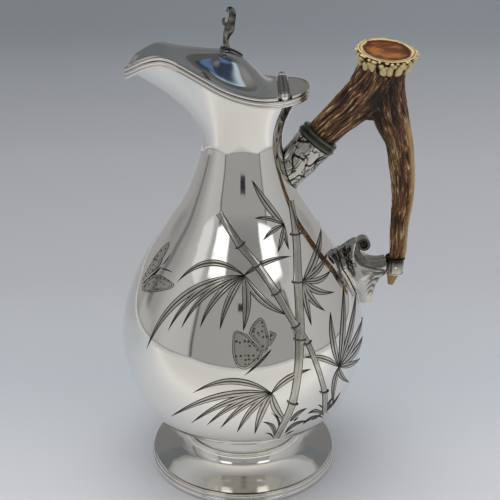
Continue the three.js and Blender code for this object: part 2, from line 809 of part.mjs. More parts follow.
// Burr: a crown with a skirt of pearls and a domed, polished face
function burr() {
  const count = pearlCount * 2;
  const rings = burrRadiusShares.map((radiusShare, row) => Array.from({ length: count }, (unused, i) => {
    const angle = (i / count) * fullTurn;
    const hollow = burrPearlShares[row] * pearlDepthShare * (1 - Math.cos(pearlCount * angle)) / 2;
    const radius = burrRadius * radiusShare * (1 - hollow);
    return new THREE.Vector3(
      radius * Math.cos(angle),
      radius * Math.sin(angle),
      burrHalfHeight * burrHeightShares[row],
    );
  }));
  const geometry = skin(rings);
  geometry.rotateX(burrTilt);
  geometry.rotateY(burrRoll);
  geometry.translate(burrX, 0, burrHeight);
  return geometry;
}

// Web that rounds the fork between beam and tine
function crotchWeb() {
  const web = new THREE.SphereGeometry(1, 14, 8);
  web.scale(crotchWebLength, crotchWebThickness, crotchWebDepth);
  web.translate(burrX - crotchBack, 0, burrHeight - crotchDrop);
  return web;
}

// What is cut away where the tine is turned down to pass through its collar
function tineTenonCut() {
  const top = tineCollarTop + seamGap;
  const bottom = tineTipHeight;
  const outer = tineTopRadius;
  return turnedAt(collarCentre.x, [
    { r: tineTenonRadius, z: bottom },
    { r: outer, z: bottom },
    { r: outer, z: top },
    { r: tineTenonRadius, z: top },
  ], 18);
}

// Where the beam stops square against its band
function beamShoulderCut() {
  const reach = socketRadius + shankRadius;
  return turnedOnBeam([{ r: reach, at: 0 }, { r: reach, at: bandLength + seamGap }], 18, false);
}

function antlerHandle() {
  const body = cut(join(beam(), tine(), crotchWeb(), burr()), beamShoulderCut(), tineTenonCut());
  return cut(join(body, beamShank()), socketPinRod(seamGap), tinePinRod(seamGap));
}

// Lower bracket

// Where the belly's surface lies along X, at a place along Y and a height
function bellySurfaceX(y, height) {
  const samples = steps(200).map((share) => profileAt(0.5 + share / 2));
  const radius = samples.find((point) => point.y >= height).x;
  return Math.sqrt(Math.max(radius * radius - y * y, 0));
}

const voluteX = bellySurfaceX(0, voluteHeight) + voluteStandOff;
const tineCollarMiddle = tineCollarTop - tineCollarLength / 2;

function tineCentreAt(height) {
  const samples = steps(200).map((share) => tineCurve().getPoint(share));
  return samples.find((point) => point.z <= height);
}

const collarCentre = tineCentreAt(tineCollarMiddle);
const collarBore = tineTenonRadius + seamGap;
const collarRadius = collarBore + tineCollarWall;

function tinePinRod(growth) {
  const reach = collarRadius + seamGap;
  return rod(
    new THREE.Vector3(collarCentre.x, -reach, tineCollarMiddle),
    new THREE.Vector3(collarCentre.x, reach, tineCollarMiddle),
    tinePinRadius + growth,
  );
}

function tineCollar() {
  const bottom = tineCollarTop - tineCollarLength;
  const lip = collarRadius + tineCollarLip;
  const tube = turnedAt(collarCentre.x, [
    { r: collarBore, z: bottom },
    { r: collarRadius - tineCollarLip / 2, z: bottom },
    { r: collarRadius, z: tineCollarTop - tineCollarLip * 5 },
    { r: lip, z: tineCollarTop - tineCollarLip * 3 },
    { r: lip, z: tineCollarTop - tineCollarLip },
    { r: collarRadius, z: tineCollarTop },
    { r: collarBore, z: tineCollarTop },
  ], 18);
  return cut(tube, tinePinRod(seamGap));
}

// Scroll: a spiral volute that runs down in a bow and out to the collar
function bracketScroll(growth = 0) {
  const turns = steps(10).map((share) => {
    const angle = Math.PI * (2.5 - 2.3 * share);
    const radius = voluteRadius * (1 - volutePitchShare * (1 - share));
    return new THREE.Vector3(
      voluteX + radius * Math.cos(angle) * -1,
      0,
      voluteHeight + radius * Math.sin(angle),
    );
  });
  const arm = [
    new THREE.Vector3(voluteX + scrollBowReach, 0, voluteHeight - scrollBowDrop),
    new THREE.Vector3(voluteX + scrollSweepReach, 0, voluteHeight - scrollSweepDrop),
    new THREE.Vector3(collarCentre.x, 0, tineCollarMiddle),
  ];
  const curve = new THREE.CatmullRomCurve3([...turns, ...arm], false, 'centripetal');
  const swell = smoothEvenly(scrollSwellShares);
  const band = middlePlaneBar(curve, 30, (share) => ovalSection(
    (scrollThickness / 2) * swell(share) + growth,
    (scrollWidth / 2) * swell(share) + growth,
    10,
  ));
  return cut(band, tineCollarSpace());
}

function tineCollarSpace() {
  const radius = collarRadius + tineCollarLip + seamGap;
  const space = new THREE.CylinderGeometry(radius, radius, tineCollarLength * 3, 18);
  space.rotateX(Math.PI / 2);
  space.translate(collarCentre.x, 0, tineCollarMiddle);
  return space;
}

// Saddle: a shield that fits the belly and rises to a ridge under the scroll
function bracketSaddle() {
  const ridgeStartX = voluteX - voluteRadius - scrollThickness / 2 - seamGap;
  const ridgeReach = collarCentre.x - collarRadius - ridgeStartX;
  const rows = saddleRidgeShares.map((ridgeShare, row) => {
    const share = row / (saddleRidgeShares.length - 1);
    const ridgeHeight = voluteHeight + saddleTopRise - (saddleTopRise + saddleTipDrop) * share;
    const height = ridgeHeight - saddleCornerDrop * (1 - share);
    const halfWidth = saddleHalfWidth * saddleWidthShares[row];
    const ridgeHalfWidth = saddleHalfWidth * saddleRidgeWidthShares[row];
    const shoulderX = bellySurfaceX(halfWidth, height) + saddleSeat + saddleThickness;
    const ridgeX = ridgeStartX + ridgeReach * ridgeShare;
    const hollow = {
      x: shoulderX + saddleHollowReachShare * (ridgeX - shoulderX),
      y: halfWidth + (ridgeHalfWidth - halfWidth) * (1 - saddleHollowWidthShare),
      z: (height + ridgeHeight) / 2,
    };
    const back = steps(4).map((column) => {
      const y = (1 - 2 * column) * halfWidth;
      return new THREE.Vector3(bellySurfaceX(y, height) + saddleSeat, y, height);
    });
    return [
      ...back,
      new THREE.Vector3(shoulderX, -halfWidth, height),
      new THREE.Vector3(hollow.x, -hollow.y, hollow.z),
      new THREE.Vector3(ridgeX, -ridgeHalfWidth, ridgeHeight),
      new THREE.Vector3(ridgeX, ridgeHalfWidth, ridgeHeight),
      new THREE.Vector3(hollow.x, hollow.y, hollow.z),
      new THREE.Vector3(shoulderX, halfWidth, height),
    ];
  });
  return cut(skin(rows), volutePocket(), bracketScroll(seamGap), tineCollarSpace());
}

// Round pocket in the saddle's ridge where the volute lies
function volutePocket() {
  const halfLength = scrollWidth / 2 + seamGap;
  return rod(
    new THREE.Vector3(voluteX, -halfLength, voluteHeight),
    new THREE.Vector3(voluteX, halfLength, voluteHeight),
    voluteRadius + scrollThickness / 2 + seamGap,
    18,
  );
}

// Finial

const finialBaseHeight = lidHeightAt(finialX, 0);

function finialBar(reachShares, riseShares, swellShares, stationCount) {
  const curve = middlePlaneCurve(
    reachShares.map((share) => finialX + share * finialHeight),
    riseShares.map((share) => finialBaseHeight + share * finialHeight),
  );
  const swell = smoothEvenly(swellShares);
  return middlePlaneBar(curve, stationCount, (share) => {
    const radius = finialStemRadius * swell(share);
    return ovalSection(radius, radius, 8);
  });
}

function finialScroll() {
  const stem = finialBar(finialReachShares, finialRiseShares, finialSwellShares, 18);
  const curl = finialBar(curlReachShares, curlRiseShares, curlSwellShares, 8);
  const stud = rod(
    new THREE.Vector3(finialX, 0, studEndHeight),
    new THREE.Vector3(finialX, 0, finialBaseHeight + finialHeight * 0.12),
    studRadius,
  );
  return join(stem, curl, stud);
}

// Leaf foot: three leaves that lie on the dome and meet in a boss round the stud
function finialLeafFoot() {
  const leaves = leafTurns.map((turn) => {
    const length = turn === 0 ? leafLength : leafLength * 0.62;
    const rows = steps(5).map((share) => {
      const reach = share * length;
      const halfWidth = leafHalfWidth * Math.sin(Math.PI * (0.3 + 0.62 * share));
      return steps(4).map((column) => {
        const across = (2 * column - 1) * halfWidth;
        const x = finialX + reach * Math.cos(turn) - across * Math.sin(turn);
        const y = reach * Math.sin(turn) + across * Math.cos(turn);
        const arch = Math.cos((2 * column - 1) * Math.PI / 2) * (1 - 0.5 * share);
        return { x, y, lift: leafThickness * (0.45 + 0.55 * arch) };
      });
    });
    const rings = rows.map((row) => [
      ...row.map(({ x, y, lift }) => new THREE.Vector3(x, y, lidHeightAt(x, y) + seamGap + lift)),
      ...row.map(({ x, y }) => new THREE.Vector3(x, y, lidHeightAt(x, y) + seamGap)).reverse(),
    ]);
    return skin(rings);
  });
  const stemSpace = finialBar(finialReachShares, finialRiseShares, finialSwellShares.map((share) => (
    share + seamGap / finialStemRadius)), 18);
  const studHole = rod(
    new THREE.Vector3(finialX, 0, finialBaseHeight - finialHeight),
    new THREE.Vector3(finialX, 0, finialBaseHeight + finialHeight),
    studRadius + seamGap,
  );
  return cut(join(...leaves), stemSpace, studHole);
}

const washerTop = -sheetWall - seamGap;
const nutTopHeight = lidHeightAt(finialX + washerRadius, 0) + washerTop - washerThickness - seamGap;
const studEndHeight = nutTopHeight - nutThickness - seamGap;

function finialWasher() {
  const disc = rod(
    new THREE.Vector3(finialX, 0, nutTopHeight),
    new THREE.Vector3(finialX, 0, finialBaseHeight + cutOverrun),
    washerRadius,
    16,
  );
  const studHole = rod(
    new THREE.Vector3(finialX, 0, nutTopHeight - cutOverrun),
    new THREE.Vector3(finialX, 0, finialBaseHeight + 2 * cutOverrun),
    studRadius + seamGap,
  );
  const layer = lidSlab(lidTipX, lidBackX, washerTop, washerTop - washerThickness, 24, 12);
  return cut(keepInside(disc, layer), studHole);
}

function finialNut() {
  const nut = rod(
    new THREE.Vector3(finialX, 0, nutTopHeight - nutThickness),
    new THREE.Vector3(finialX, 0, nutTopHeight),
    nutRadius,
    6,
  );
  const hole = rod(
    new THREE.Vector3(finialX, 0, nutTopHeight - nutThickness - cutOverrun),
    new THREE.Vector3(finialX, 0, nutTopHeight + cutOverrun),
    studRadius + seamGap,
  );
  return cut(nut, hole);
}

// Assembly

const silver = { color: silverColour, roughness: 0.12, metalness: 1 };
const darkSilver = { color: darkSilverColour, roughness: 0.35, metalness: 1 };
const antler = { color: antlerColour, roughness: 0.6, metalness: 0 };

function piece(name, geometry, finish) {
  const mesh = new THREE.Mesh(geometry, new THREE.MeshStandardMaterial(finish));
  mesh.name = name;
  return mesh;
}

const pot = new THREE.Group();
pot.add(
  piece('body_shell', bodyShell(), silver),
  piece('mouth_wire', mouthWire(), silver),
  piece('foot_shell', footShell(), silver),
  piece('foot_collar_wire', footCollarWire(), silver),
  piece('foot_base_wire', footBaseWire(), silver),
  piece('heel_plate', heelPlate(), silver),
  piece('heel_wire', heelWire(), silver),
  piece('hinge_knuckle_near', knuckle(-hingeHalfLength, -outerKnuckleStart), silver),
  piece('hinge_knuckle_middle', knuckle(-middleKnuckleLength / 2, middleKnuckleLength / 2), silver),
  piece('hinge_knuckle_far', knuckle(outerKnuckleStart, hingeHalfLength), silver),
  piece('hinge_pin', hingePin(), silver),
  piece('hinge_boss_near', hingeBoss(-1), silver),
  piece('hinge_boss_far', hingeBoss(1), silver),
  piece('upper_socket', upperSocket(), silver),
  piece('upper_socket_band', socketBand(), darkSilver),
  piece('upper_socket_pin', socketPinRod(0), silver),
  piece('antler_handle', antlerHandle(), antler),
  piece('tine_collar', tineCollar(), silver),
  piece('tine_collar_pin', tinePinRod(0), silver),
  piece('bracket_saddle', bracketSaddle(), silver),
  piece('bracket_scroll', bracketScroll(), silver),
);

const lid = new THREE.Group();
lid.add(
  piece('lid_shell', lidShell(), silver),
  piece('lid_wire', lidWire(), silver),
  piece('lid_knuckle_near', knuckle(-lidKnuckleStart - lidKnuckleLength, -lidKnuckleStart), silver),
  piece('lid_knuckle_far', knuckle(lidKnuckleStart, lidKnuckleStart + lidKnuckleLength), silver),
  piece('finial_scroll', finialScroll(), silver),
  piece('finial_leaf_foot', finialLeafFoot(), silver),
  piece('finial_washer', finialWasher(), silver),
  piece('finial_nut', finialNut(), silver),
);

const group = new THREE.Group();
group.add(pot, lid);
group.updateMatrixWorld(true);
const extent = new THREE.Box3().setFromObject(group, true);
group.position.set(-(extent.min.x + extent.max.x) / 2, -(extent.min.y + extent.max.y) / 2, -extent.min.z);
group.updateMatrixWorld(true);

export default group;
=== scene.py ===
"""Silver-plated hot water jug with a hinged lid, an engraved belly and a forked antler handle.

Every new piece is a surface worked out with numpy in millimetres from the pot's own axis, and is put into
its mesh in metres in the frame of the solids.
"""
import math

import bpy
import numpy as np
from bpy.props import FloatProperty, FloatVectorProperty, PointerProperty
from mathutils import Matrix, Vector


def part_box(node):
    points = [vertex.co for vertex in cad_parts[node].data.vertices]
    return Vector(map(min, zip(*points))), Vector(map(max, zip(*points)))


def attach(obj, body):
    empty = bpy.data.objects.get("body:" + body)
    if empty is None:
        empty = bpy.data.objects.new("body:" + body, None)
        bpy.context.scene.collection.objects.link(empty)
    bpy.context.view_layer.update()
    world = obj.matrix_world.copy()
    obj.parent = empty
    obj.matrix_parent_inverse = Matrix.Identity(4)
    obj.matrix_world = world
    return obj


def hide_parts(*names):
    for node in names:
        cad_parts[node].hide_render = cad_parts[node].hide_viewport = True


bl_info = {
    "name": "Antler-handled hot water jug",
    "version": (1, 0, 0),
    "blender": (4, 5, 0),
    "location": "3D View > Sidebar > Jug",
    "description": "Builds a silver-plated jug with an engraved belly and an antler handle around its solids",
    "category": "Add Mesh",
}

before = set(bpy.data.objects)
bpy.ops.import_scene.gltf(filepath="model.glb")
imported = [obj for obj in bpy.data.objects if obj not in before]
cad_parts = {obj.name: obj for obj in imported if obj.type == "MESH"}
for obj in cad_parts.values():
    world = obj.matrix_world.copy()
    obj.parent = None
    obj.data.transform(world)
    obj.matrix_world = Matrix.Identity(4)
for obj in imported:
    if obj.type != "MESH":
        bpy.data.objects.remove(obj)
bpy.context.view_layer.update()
FOOT_LOW, FOOT_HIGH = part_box("foot_base_wire")

MM = 0.001
FULL_TURN = 2.0 * math.pi
# The pot's axis stands in the middle of its foot, in metres
AXIS_X = (FOOT_LOW[0] + FOOT_HIGH[0]) / 2

# Sizes of the solids in millimetres, measured from the pot's own axis
SHEET_WALL = 1.0
SEAM = 0.3
BODY_BOTTOM = 20.0
BELLY_RADIUS, BELLY_HEIGHT = 71.0, 84.0
NECK_RADIUS, NECK_HEIGHT = 22.2, 200.0
BOTTOM_RADII = np.array([0, 0.2, 0.39, 0.51, 0.6, 0.71, 0.805, 0.88, 0.95, 1])
BOTTOM_HEIGHTS = np.array([0, 0.02, 0.083, 0.148, 0.198, 0.264, 0.338, 0.453, 0.68, 1])
UPPER_RADII = np.array([1, 0.93, 0.723, 0.455, 0.217, 0.049, 0])
UPPER_HEIGHTS = np.array([0, 0.189, 0.397, 0.57, 0.724, 0.897, 1])
SPOUT_REACH, HEEL_REACH = 63.3, 36.4
MOUTH_HALF_WIDTH, MOUTH_WIDEST_X = 28.5, -2.0
HEEL_SQUARENESS, BEAK_TAPER = 2.55, 1.44
JOINT_HEIGHT, JOINT_CREST = 228.2, 19.5
JOINT_REACHES = np.array([-1, -0.826, -0.67, -0.53, -0.333, -0.169, -0.006, 0.158, 0.33, 0.575])
JOINT_RISES = np.array([0.51, 0.85, 1, 0.9, 0.585, 0.308, 0.118, 0.015, 0, 0.07])
FLARE_START, FLARE_REACH, FLARE_RISE = 0.38, 0.52, 0.26
MOUTH_WIRE_HEIGHT, MOUTH_WIRE_THICKNESS = 3.6, 2.1
LID_WIRE_HEIGHT, LID_WIRE_THICKNESS = 2.3, 1.9
LID_CREST = 25.5
CREST_REACHES = np.array([-0.964, -0.93, -0.88, -0.717, -0.52, -0.254, -0.161, -0.014, 0.106, 0.22, 0.3, 0.4,
                          0.575])
CREST_RISES = np.array([0.52, 0.66, 0.8, 1, 0.93, 0.878, 0.859, 0.729, 0.463, 0.19, 0.1, 0.092, 0.145])
DOME_SHOULDER = 1.2
POT_SHARE = 0.72


def smooth_through(xs, ys):
    """Curve through points with rising x: cubics whose slopes come from the neighbouring points."""
    xs, ys = np.asarray(xs, float), np.asarray(ys, float)
    before = np.maximum(np.arange(len(xs)) - 1, 0)
    after = np.minimum(np.arange(len(xs)) + 1, len(xs) - 1)
    slopes = (ys[after] - ys[before]) / (xs[after] - xs[before])

    def curve(x):
        x = np.asarray(x, float)
        i = np.clip(np.searchsorted(xs, x, side="left") - 1, 0, len(xs) - 2)
        span = xs[i + 1] - xs[i]
        t = np.clip((x - xs[i]) / span, 0, 1)
        return ((1 + 2 * t) * (1 - t) ** 2 * ys[i] + t * (1 - t) ** 2 * span * slopes[i]
                + t * t * (3 - 2 * t) * ys[i + 1] + t * t * (t - 1) * span * slopes[i + 1])
    return curve


def evenly(values):
    """The same curve through values spread evenly over 0 to 1."""
    return smooth_through(np.linspace(0, 1, len(values)), values)


def uniform_spline(points, t):
    """Catmull-Rom curve whose knots are evenly spaced, at t from 0 to 1."""
    points = np.asarray(points, float)
    place = np.asarray(t, float) * (len(points) - 1)
    i = np.clip(np.floor(place).astype(int), 0, len(points) - 2)
    w = (place - i)[..., None]
    p0, p1 = points[np.maximum(i - 1, 0)], points[i]
    p2, p3 = points[i + 1], points[np.minimum(i + 2, len(points) - 1)]
    v0, v1 = (p2 - p0) / 2, (p3 - p1) / 2
    return ((2 * p1 - 2 * p2 + v0 + v1) * w ** 3 + (-3 * p1 + 3 * p2 - 2 * v0 - v1) * w ** 2 + v0 * w + p1)


def unit(vectors, least=0.0):
    """The same directions with length 1. A small least keeps empty ones finite."""
    return vectors / (np.linalg.norm(vectors, axis=-1, keepdims=True) + least)


def mouth_outline(angle, inset):
    """Mouth seen from above: a superellipse heel for x past the widest place, a tapering beak before it."""
    cosine, sine = np.cos(angle), np.abs(np.sin(angle))
    side = np.sign(np.sin(angle))
    half_width = MOUTH_HALF_WIDTH - inset
    heel = HEEL_REACH - inset - MOUTH_WIDEST_X
    beak = SPOUT_REACH - inset + MOUTH_WIDEST_X
    back = np.clip(cosine, 0, 1)
    x = np.where(cosine > 0, MOUTH_WIDEST_X + heel * back ** (2 / HEEL_SQUARENESS),
                 MOUTH_WIDEST_X + beak * cosine)
    y = side * half_width * np.where(cosine > 0, sine ** (2 / HEEL_SQUARENESS), sine ** BEAK_TAPER)
    return x, y


def mouth_half_width(x, inset):
    """Half width of that outline at a place along X."""
    half_width = MOUTH_HALF_WIDTH - inset
    back = np.clip((x - MOUTH_WIDEST_X) / (HEEL_REACH - inset - MOUTH_WIDEST_X), 0, 1)
    front = np.clip((MOUTH_WIDEST_X - x) / (SPOUT_REACH - inset + MOUTH_WIDEST_X), 0, 1)
    return np.where(x > MOUTH_WIDEST_X,
                    half_width * (1 - back ** HEEL_SQUARENESS) ** (1 / HEEL_SQUARENESS),
                    half_width * (1 - front * front) ** (BEAK_TAPER / 2))


def heel_angle(x, inset):
    """Angle on that outline for a place along X behind the widest place."""
    share = (x - MOUTH_WIDEST_X) / (HEEL_REACH - inset - MOUTH_WIDEST_X)
    return math.acos(share ** (HEEL_SQUARENESS / 2))


joint_rise = smooth_through(JOINT_REACHES * SPOUT_REACH, JOINT_RISES * JOINT_CREST)
crest_rise = smooth_through(CREST_REACHES * SPOUT_REACH, CREST_RISES * LID_CREST)


def joint_height(x):
    """Height of the parting line between pot and lid."""
    return JOINT_HEIGHT + joint_rise(x)


PROFILE = np.concatenate([
    np.stack([BOTTOM_RADII * BELLY_RADIUS, BODY_BOTTOM + BOTTOM_HEIGHTS * (BELLY_HEIGHT - BODY_BOTTOM)], 1),
    np.stack([NECK_RADIUS + UPPER_RADII * (BELLY_RADIUS - NECK_RADIUS),
              BELLY_HEIGHT + UPPER_HEIGHTS * (NECK_HEIGHT - BELLY_HEIGHT)], 1)[1:]])
# One more point, the last but one mirrored about the neck, lets the pot meet the neck upright
PROFILE_RUN = np.vstack([PROFILE, [PROFILE[-2, 0], 2 * NECK_HEIGHT - PROFILE[-2, 1]]])


def body_surface(share, angle, offset):
    """The raised pot: a turned profile up to POT_SHARE, then cubic Bezier flares from the round neck to
    the mouth outline. offset moves it along its normal. Both arrays broadcast."""
    share, angle = np.broadcast_arrays(np.asarray(share, float), np.asarray(angle, float))
    along = np.clip(share / POT_SHARE, 0, 1) * (1 - 1 / len(PROFILE))
    point = uniform_spline(PROFILE_RUN, along)
    step = 1e-4
    tangent = unit(uniform_spline(PROFILE_RUN, along + step)
                   - uniform_spline(PROFILE_RUN, np.maximum(along - step, 0)))
    radius = np.maximum(point[..., 0] + tangent[..., 1] * offset, 0)
    pot = np.stack([radius * np.cos(angle), radius * np.sin(angle),
                    point[..., 1] - tangent[..., 0] * offset], -1)
    t = np.clip((share - POT_SHARE) / (1 - POT_SHARE), 0, 1)
    inset = MOUTH_WIRE_THICKNESS + SEAM
    rim_x, rim_y = mouth_outline(angle, inset - offset)
    neck_x, neck_y = (NECK_RADIUS + offset) * np.cos(angle), (NECK_RADIUS + offset) * np.sin(angle)
    rim_z = joint_height(mouth_outline(angle, inset)[0]) - 2 * SEAM
    rise = rim_z - NECK_HEIGHT
    knots = [np.stack([neck_x, neck_y, np.full_like(rise, NECK_HEIGHT)], -1),
             np.stack([neck_x, neck_y, NECK_HEIGHT + FLARE_START * rise], -1),
             np.stack([rim_x - FLARE_REACH * (rim_x - neck_x), rim_y - FLARE_REACH * (rim_y - neck_y),
                       rim_z - FLARE_RISE * rise], -1),
             np.stack([rim_x, rim_y, rim_z], -1)]
    weights = [(1 - t) ** 3, 3 * t * (1 - t) ** 2, 3 * t * t * (1 - t), t ** 3]
    flare = sum(weight[..., None] * knot for weight, knot in zip(weights, knots))
    return np.where((share <= POT_SHARE)[..., None], pot, flare)


def lid_height(x, y):
    """Hood of the lid: the wire's height at the edge and the crest in the middle, joined by a squared
    cosine of the place across."""
    inset = LID_WIRE_THICKNESS + SEAM
    edge = joint_height(x) + LID_WIRE_HEIGHT
    crest = np.maximum(JOINT_HEIGHT + crest_rise(x), edge)
    half_width = np.maximum(mouth_half_width(x, inset), SEAM)
    share = np.clip(np.abs(y) / half_width, 0, 1)
    return edge + (crest - edge) * np.cos(math.pi / 2 * share ** DOME_SHOULDER) ** 2


# Mesh helpers


def round_angles(count):
    """Angles evenly round a full turn, as one row."""
    return (np.arange(count) / count * FULL_TURN)[None]


def fade(values, start, span):
    """0 at the start, 1 a span further on, and held beyond. A span below 0 runs the other way."""
    return np.clip((values - start) / span, 0, 1)


def bead(reach, height, out, up, degrees=90, count=9):
    """Half-round edge of a section about a middle, with its size outwards and upwards."""
    arc = np.linspace(-degrees, degrees, count) * math.pi / 180
    return np.stack([reach + out * np.cos(arc), height + up * np.sin(arc)], 1)


def ellipsoid(middle, radii, rows, around, start=0.02):
    """Rings of an ellipsoid, from just below its top to just above its bottom."""
    up, turn = np.linspace(start, math.pi - start, rows)[:, None], round_angles(around)
    return np.stack([middle[0] + radii[0] * np.sin(up) * np.cos(turn), middle[1] + radii[1] * np.sin(up) * np.sin(turn),
                     middle[2] + radii[2] * np.cos(up) + 0 * turn], -1)


def ring_spline(points, t):
    """Centripetal Catmull-Rom curve through points, at t from 0 to 1: cubic pieces whose end slopes come
    from the neighbours, weighted by the square root of the distances."""
    points = np.asarray(points, float)
    padded = np.vstack([2 * points[0] - points[1], points, 2 * points[-1] - points[-2]])
    place = np.asarray(t, float) * (len(points) - 1)
    i = np.clip(np.floor(place).astype(int), 0, len(points) - 2)
    w = (place - i)[..., None]
    p0, p1, p2, p3 = (padded[i + k] for k in range(4))
    d0, d1, d2 = (np.linalg.norm(b - a, axis=-1)[..., None] ** 0.5 for a, b in ((p0, p1), (p1, p2), (p2, p3)))
    s1 = ((p1 - p0) / d0 - (p2 - p0) / (d0 + d1) + (p2 - p1) / d1) * d1
    s2 = ((p2 - p1) / d1 - (p3 - p1) / (d1 + d2) + (p3 - p2) / d2) * d1
    return p1 + s1 * w + (3 * (p2 - p1) - 2 * s1 - s2) * w ** 2 + (2 * (p1 - p2) + s1 + s2) * w ** 3


def skin(rings, looped=False):
    """Closed skin over rows of rings, shape (rows, points, 3), capped by a fan at each end unless the rows
    close on themselves. Gives vertices and a list of face arrays."""
    rows, count = rings.shape[:2]
    ids = np.arange(rows * count).reshape(rows, count)
    near, far = (ids, np.roll(ids, -1, 0)) if looped else (ids[:-1], ids[1:])
    faces = [np.stack([near, np.roll(near, -1, 1), np.roll(far, -1, 1), far], -1).reshape(-1, 4)]
    vertices = rings.reshape(-1, 3)
    if not looped:
        hub = len(vertices)
        vertices = np.vstack([vertices, rings[[0, -1]].mean(1)])
        faces.append(np.stack([np.full(count, hub), np.roll(ids[0], -1), ids[0]], -1))
        faces.append(np.stack([np.full(count, hub + 1), ids[-1], np.roll(ids[-1], -1)], -1))
    return vertices, faces


def outwards(vertices, faces):
    """The same faces, turned round where the signed volume they enclose is negative."""
    volume = 0.0
    for group in faces:
        for k in range(1, group.shape[1] - 1):
            a, b, c = (vertices[group[:, i]] for i in (0, k, k + 1))
            volume += np.einsum("ij,ij->", a, np.cross(b, c))
    return faces if volume > 0 else [group[:, ::-1] for group in faces]


def joined(parts):
    """Several (vertices, faces) or (vertices, faces, attributes) parts as one, with their vertex numbers
    moved on."""
    vertices, faces, attributes, start = [], [], {}, 0
    for part_vertices, part_faces, *extra in parts:
        vertices.append(part_vertices)
        faces.extend(group + start for group in outwards(part_vertices, part_faces))
        for key, values in (extra[0] if extra else {}).items():
            values = np.asarray(values, float).ravel()
            missing = len(part_vertices) - len(values)
            attributes.setdefault(key, []).append(np.concatenate([values, np.full(missing, values[-1])]))
        start += len(part_vertices)
    return np.vstack(vertices), faces, {key: np.concatenate(values) for key, values in attributes.items()}


def new_mesh(name, vertices, faces):
    """Mesh in metres from vertices in millimetres from the pot's axis."""
    mesh = bpy.data.meshes.new(name)
    points = np.asarray(vertices, float) * MM + np.array([AXIS_X, 0, 0])
    mesh.vertices.add(len(points))
    mesh.vertices.foreach_set("co", points.astype(np.float32).ravel())
    sizes = np.concatenate([np.full(len(group), group.shape[1]) for group in faces])
    corners = np.concatenate([group.ravel() for group in faces])
    mesh.loops.add(len(corners))
    mesh.loops.foreach_set("vertex_index", corners.astype(np.int32))
    mesh.polygons.add(len(sizes))
    mesh.polygons.foreach_set("loop_start", (np.cumsum(sizes) - sizes).astype(np.int32))
    mesh.update(calc_edges=True)
    mesh.validate()
    return mesh


def set_attribute(mesh, key, values, kind="FLOAT", field="value"):
    """Stores one value or vector for each vertex."""
    store = mesh.attributes.new(key, kind, "POINT").data
    store.foreach_set(field, np.asarray(values).astype(np.float32).ravel())


def add_object(name, data):
    thing = bpy.data.objects.new(name, data)
    bpy.context.scene.collection.objects.link(thing)
    return thing


def add_piece(name, parts, material, body, stands_for=None, sharp=40.0):
    """Makes the object of a piece out of its parts, gives it its material and ties it to the frame. It
    stands for the solid with its own name unless others are given."""
    vertices, faces, attributes = joined(parts)
    mesh = new_mesh(name, vertices, faces)
    for key, values in attributes.items():
        set_attribute(mesh, key, values)
    finish_piece(name, mesh, material, body, [name] if stands_for is None else stands_for, sharp)


def finish_piece(name, mesh, material, body, stands_for, sharp=40.0):
    """Shades a mesh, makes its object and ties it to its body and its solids."""
    mesh.shade_smooth()
    mesh.set_sharp_from_angle(angle=math.radians(sharp))
    mesh.materials.append(material)
    piece = add_object(name, mesh)
    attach(piece, body)
    if stands_for:
        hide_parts(*stands_for)


def turned(profile, count=256, axis_x=0.0):
    """Ring-shaped solid: a closed profile (n, 2) of radius and height, turned about an upright axis."""
    angle = round_angles(count)
    radius, height = profile[:, :1], profile[:, 1:]
    rings = np.stack([axis_x + radius * np.cos(angle), radius * np.sin(angle), height + 0 * angle], -1)
    return skin(rings, looped=True)


def plane_bar(centre, reach, side, looped=False):
    """Bar along a curve (n, 2) of x and z in the pot's middle plane. reach lies in the plane, square to the
    curve, and side along Y, both (n, points)."""
    step = unit(np.gradient(centre, axis=0))
    out = np.stack([-step[:, 1], step[:, 0]], 1)
    rings = np.stack([centre[:, :1] + out[:, :1] * reach, side + 0 * reach, centre[:, 1:] + out[:, 1:] * reach], -1)
    return skin(rings, looped)


def value_noise(across, along, period, seed):
    """Smooth noise from 0 to 1 on a lattice of random heights, repeating after period cells across."""
    heights = np.random.default_rng(seed).random((period, 512))
    column, row = np.floor(across).astype(int), np.floor(along).astype(int)
    u, v = across - column, along - row
    u, v = u * u * (3 - 2 * u), v * v * (3 - 2 * v)
    c0, c1, r0, r1 = column % period, (column + 1) % period, row % 512, (row + 1) % 512
    low = heights[c0, r0] * (1 - u) + heights[c1, r0] * u
    high = heights[c0, r1] * (1 - u) + heights[c1, r1] * u
    return low * (1 - v) + high * v


def ring_noise(angle, cells, along, seed, shift=0.0):
    """Smooth noise with a number of cells round a full turn."""
    return value_noise(angle / FULL_TURN * cells + shift, along, cells, seed)


def found_by_halving(inside, outside, is_clear, steps):
    """Where it is just clear, between places that aren't and places that are."""
    for _ in range(steps):
        middle = (inside + outside) / 2
        clear = is_clear(middle)
        inside, outside = np.where(clear, inside, middle), np.where(clear, middle, outside)
    return outside


def body_radius_table():
    """Radius of the pot's outside by angle and height, one row for each angle."""
    shares = np.linspace(0.02, 1, 700)
    rows = []
    for angle in TABLE_ANGLES:
        points = body_surface(shares, angle, 0)
        rows.append(np.interp(TABLE_HEIGHTS, points[:, 2], np.hypot(points[:, 0], points[:, 1])))
    return np.array(rows)


TABLE_ANGLES = np.linspace(-math.pi, math.pi, 181)
TABLE_HEIGHTS = np.arange(BODY_BOTTOM, 248, 0.25)
RADIUS_TABLE = body_radius_table()


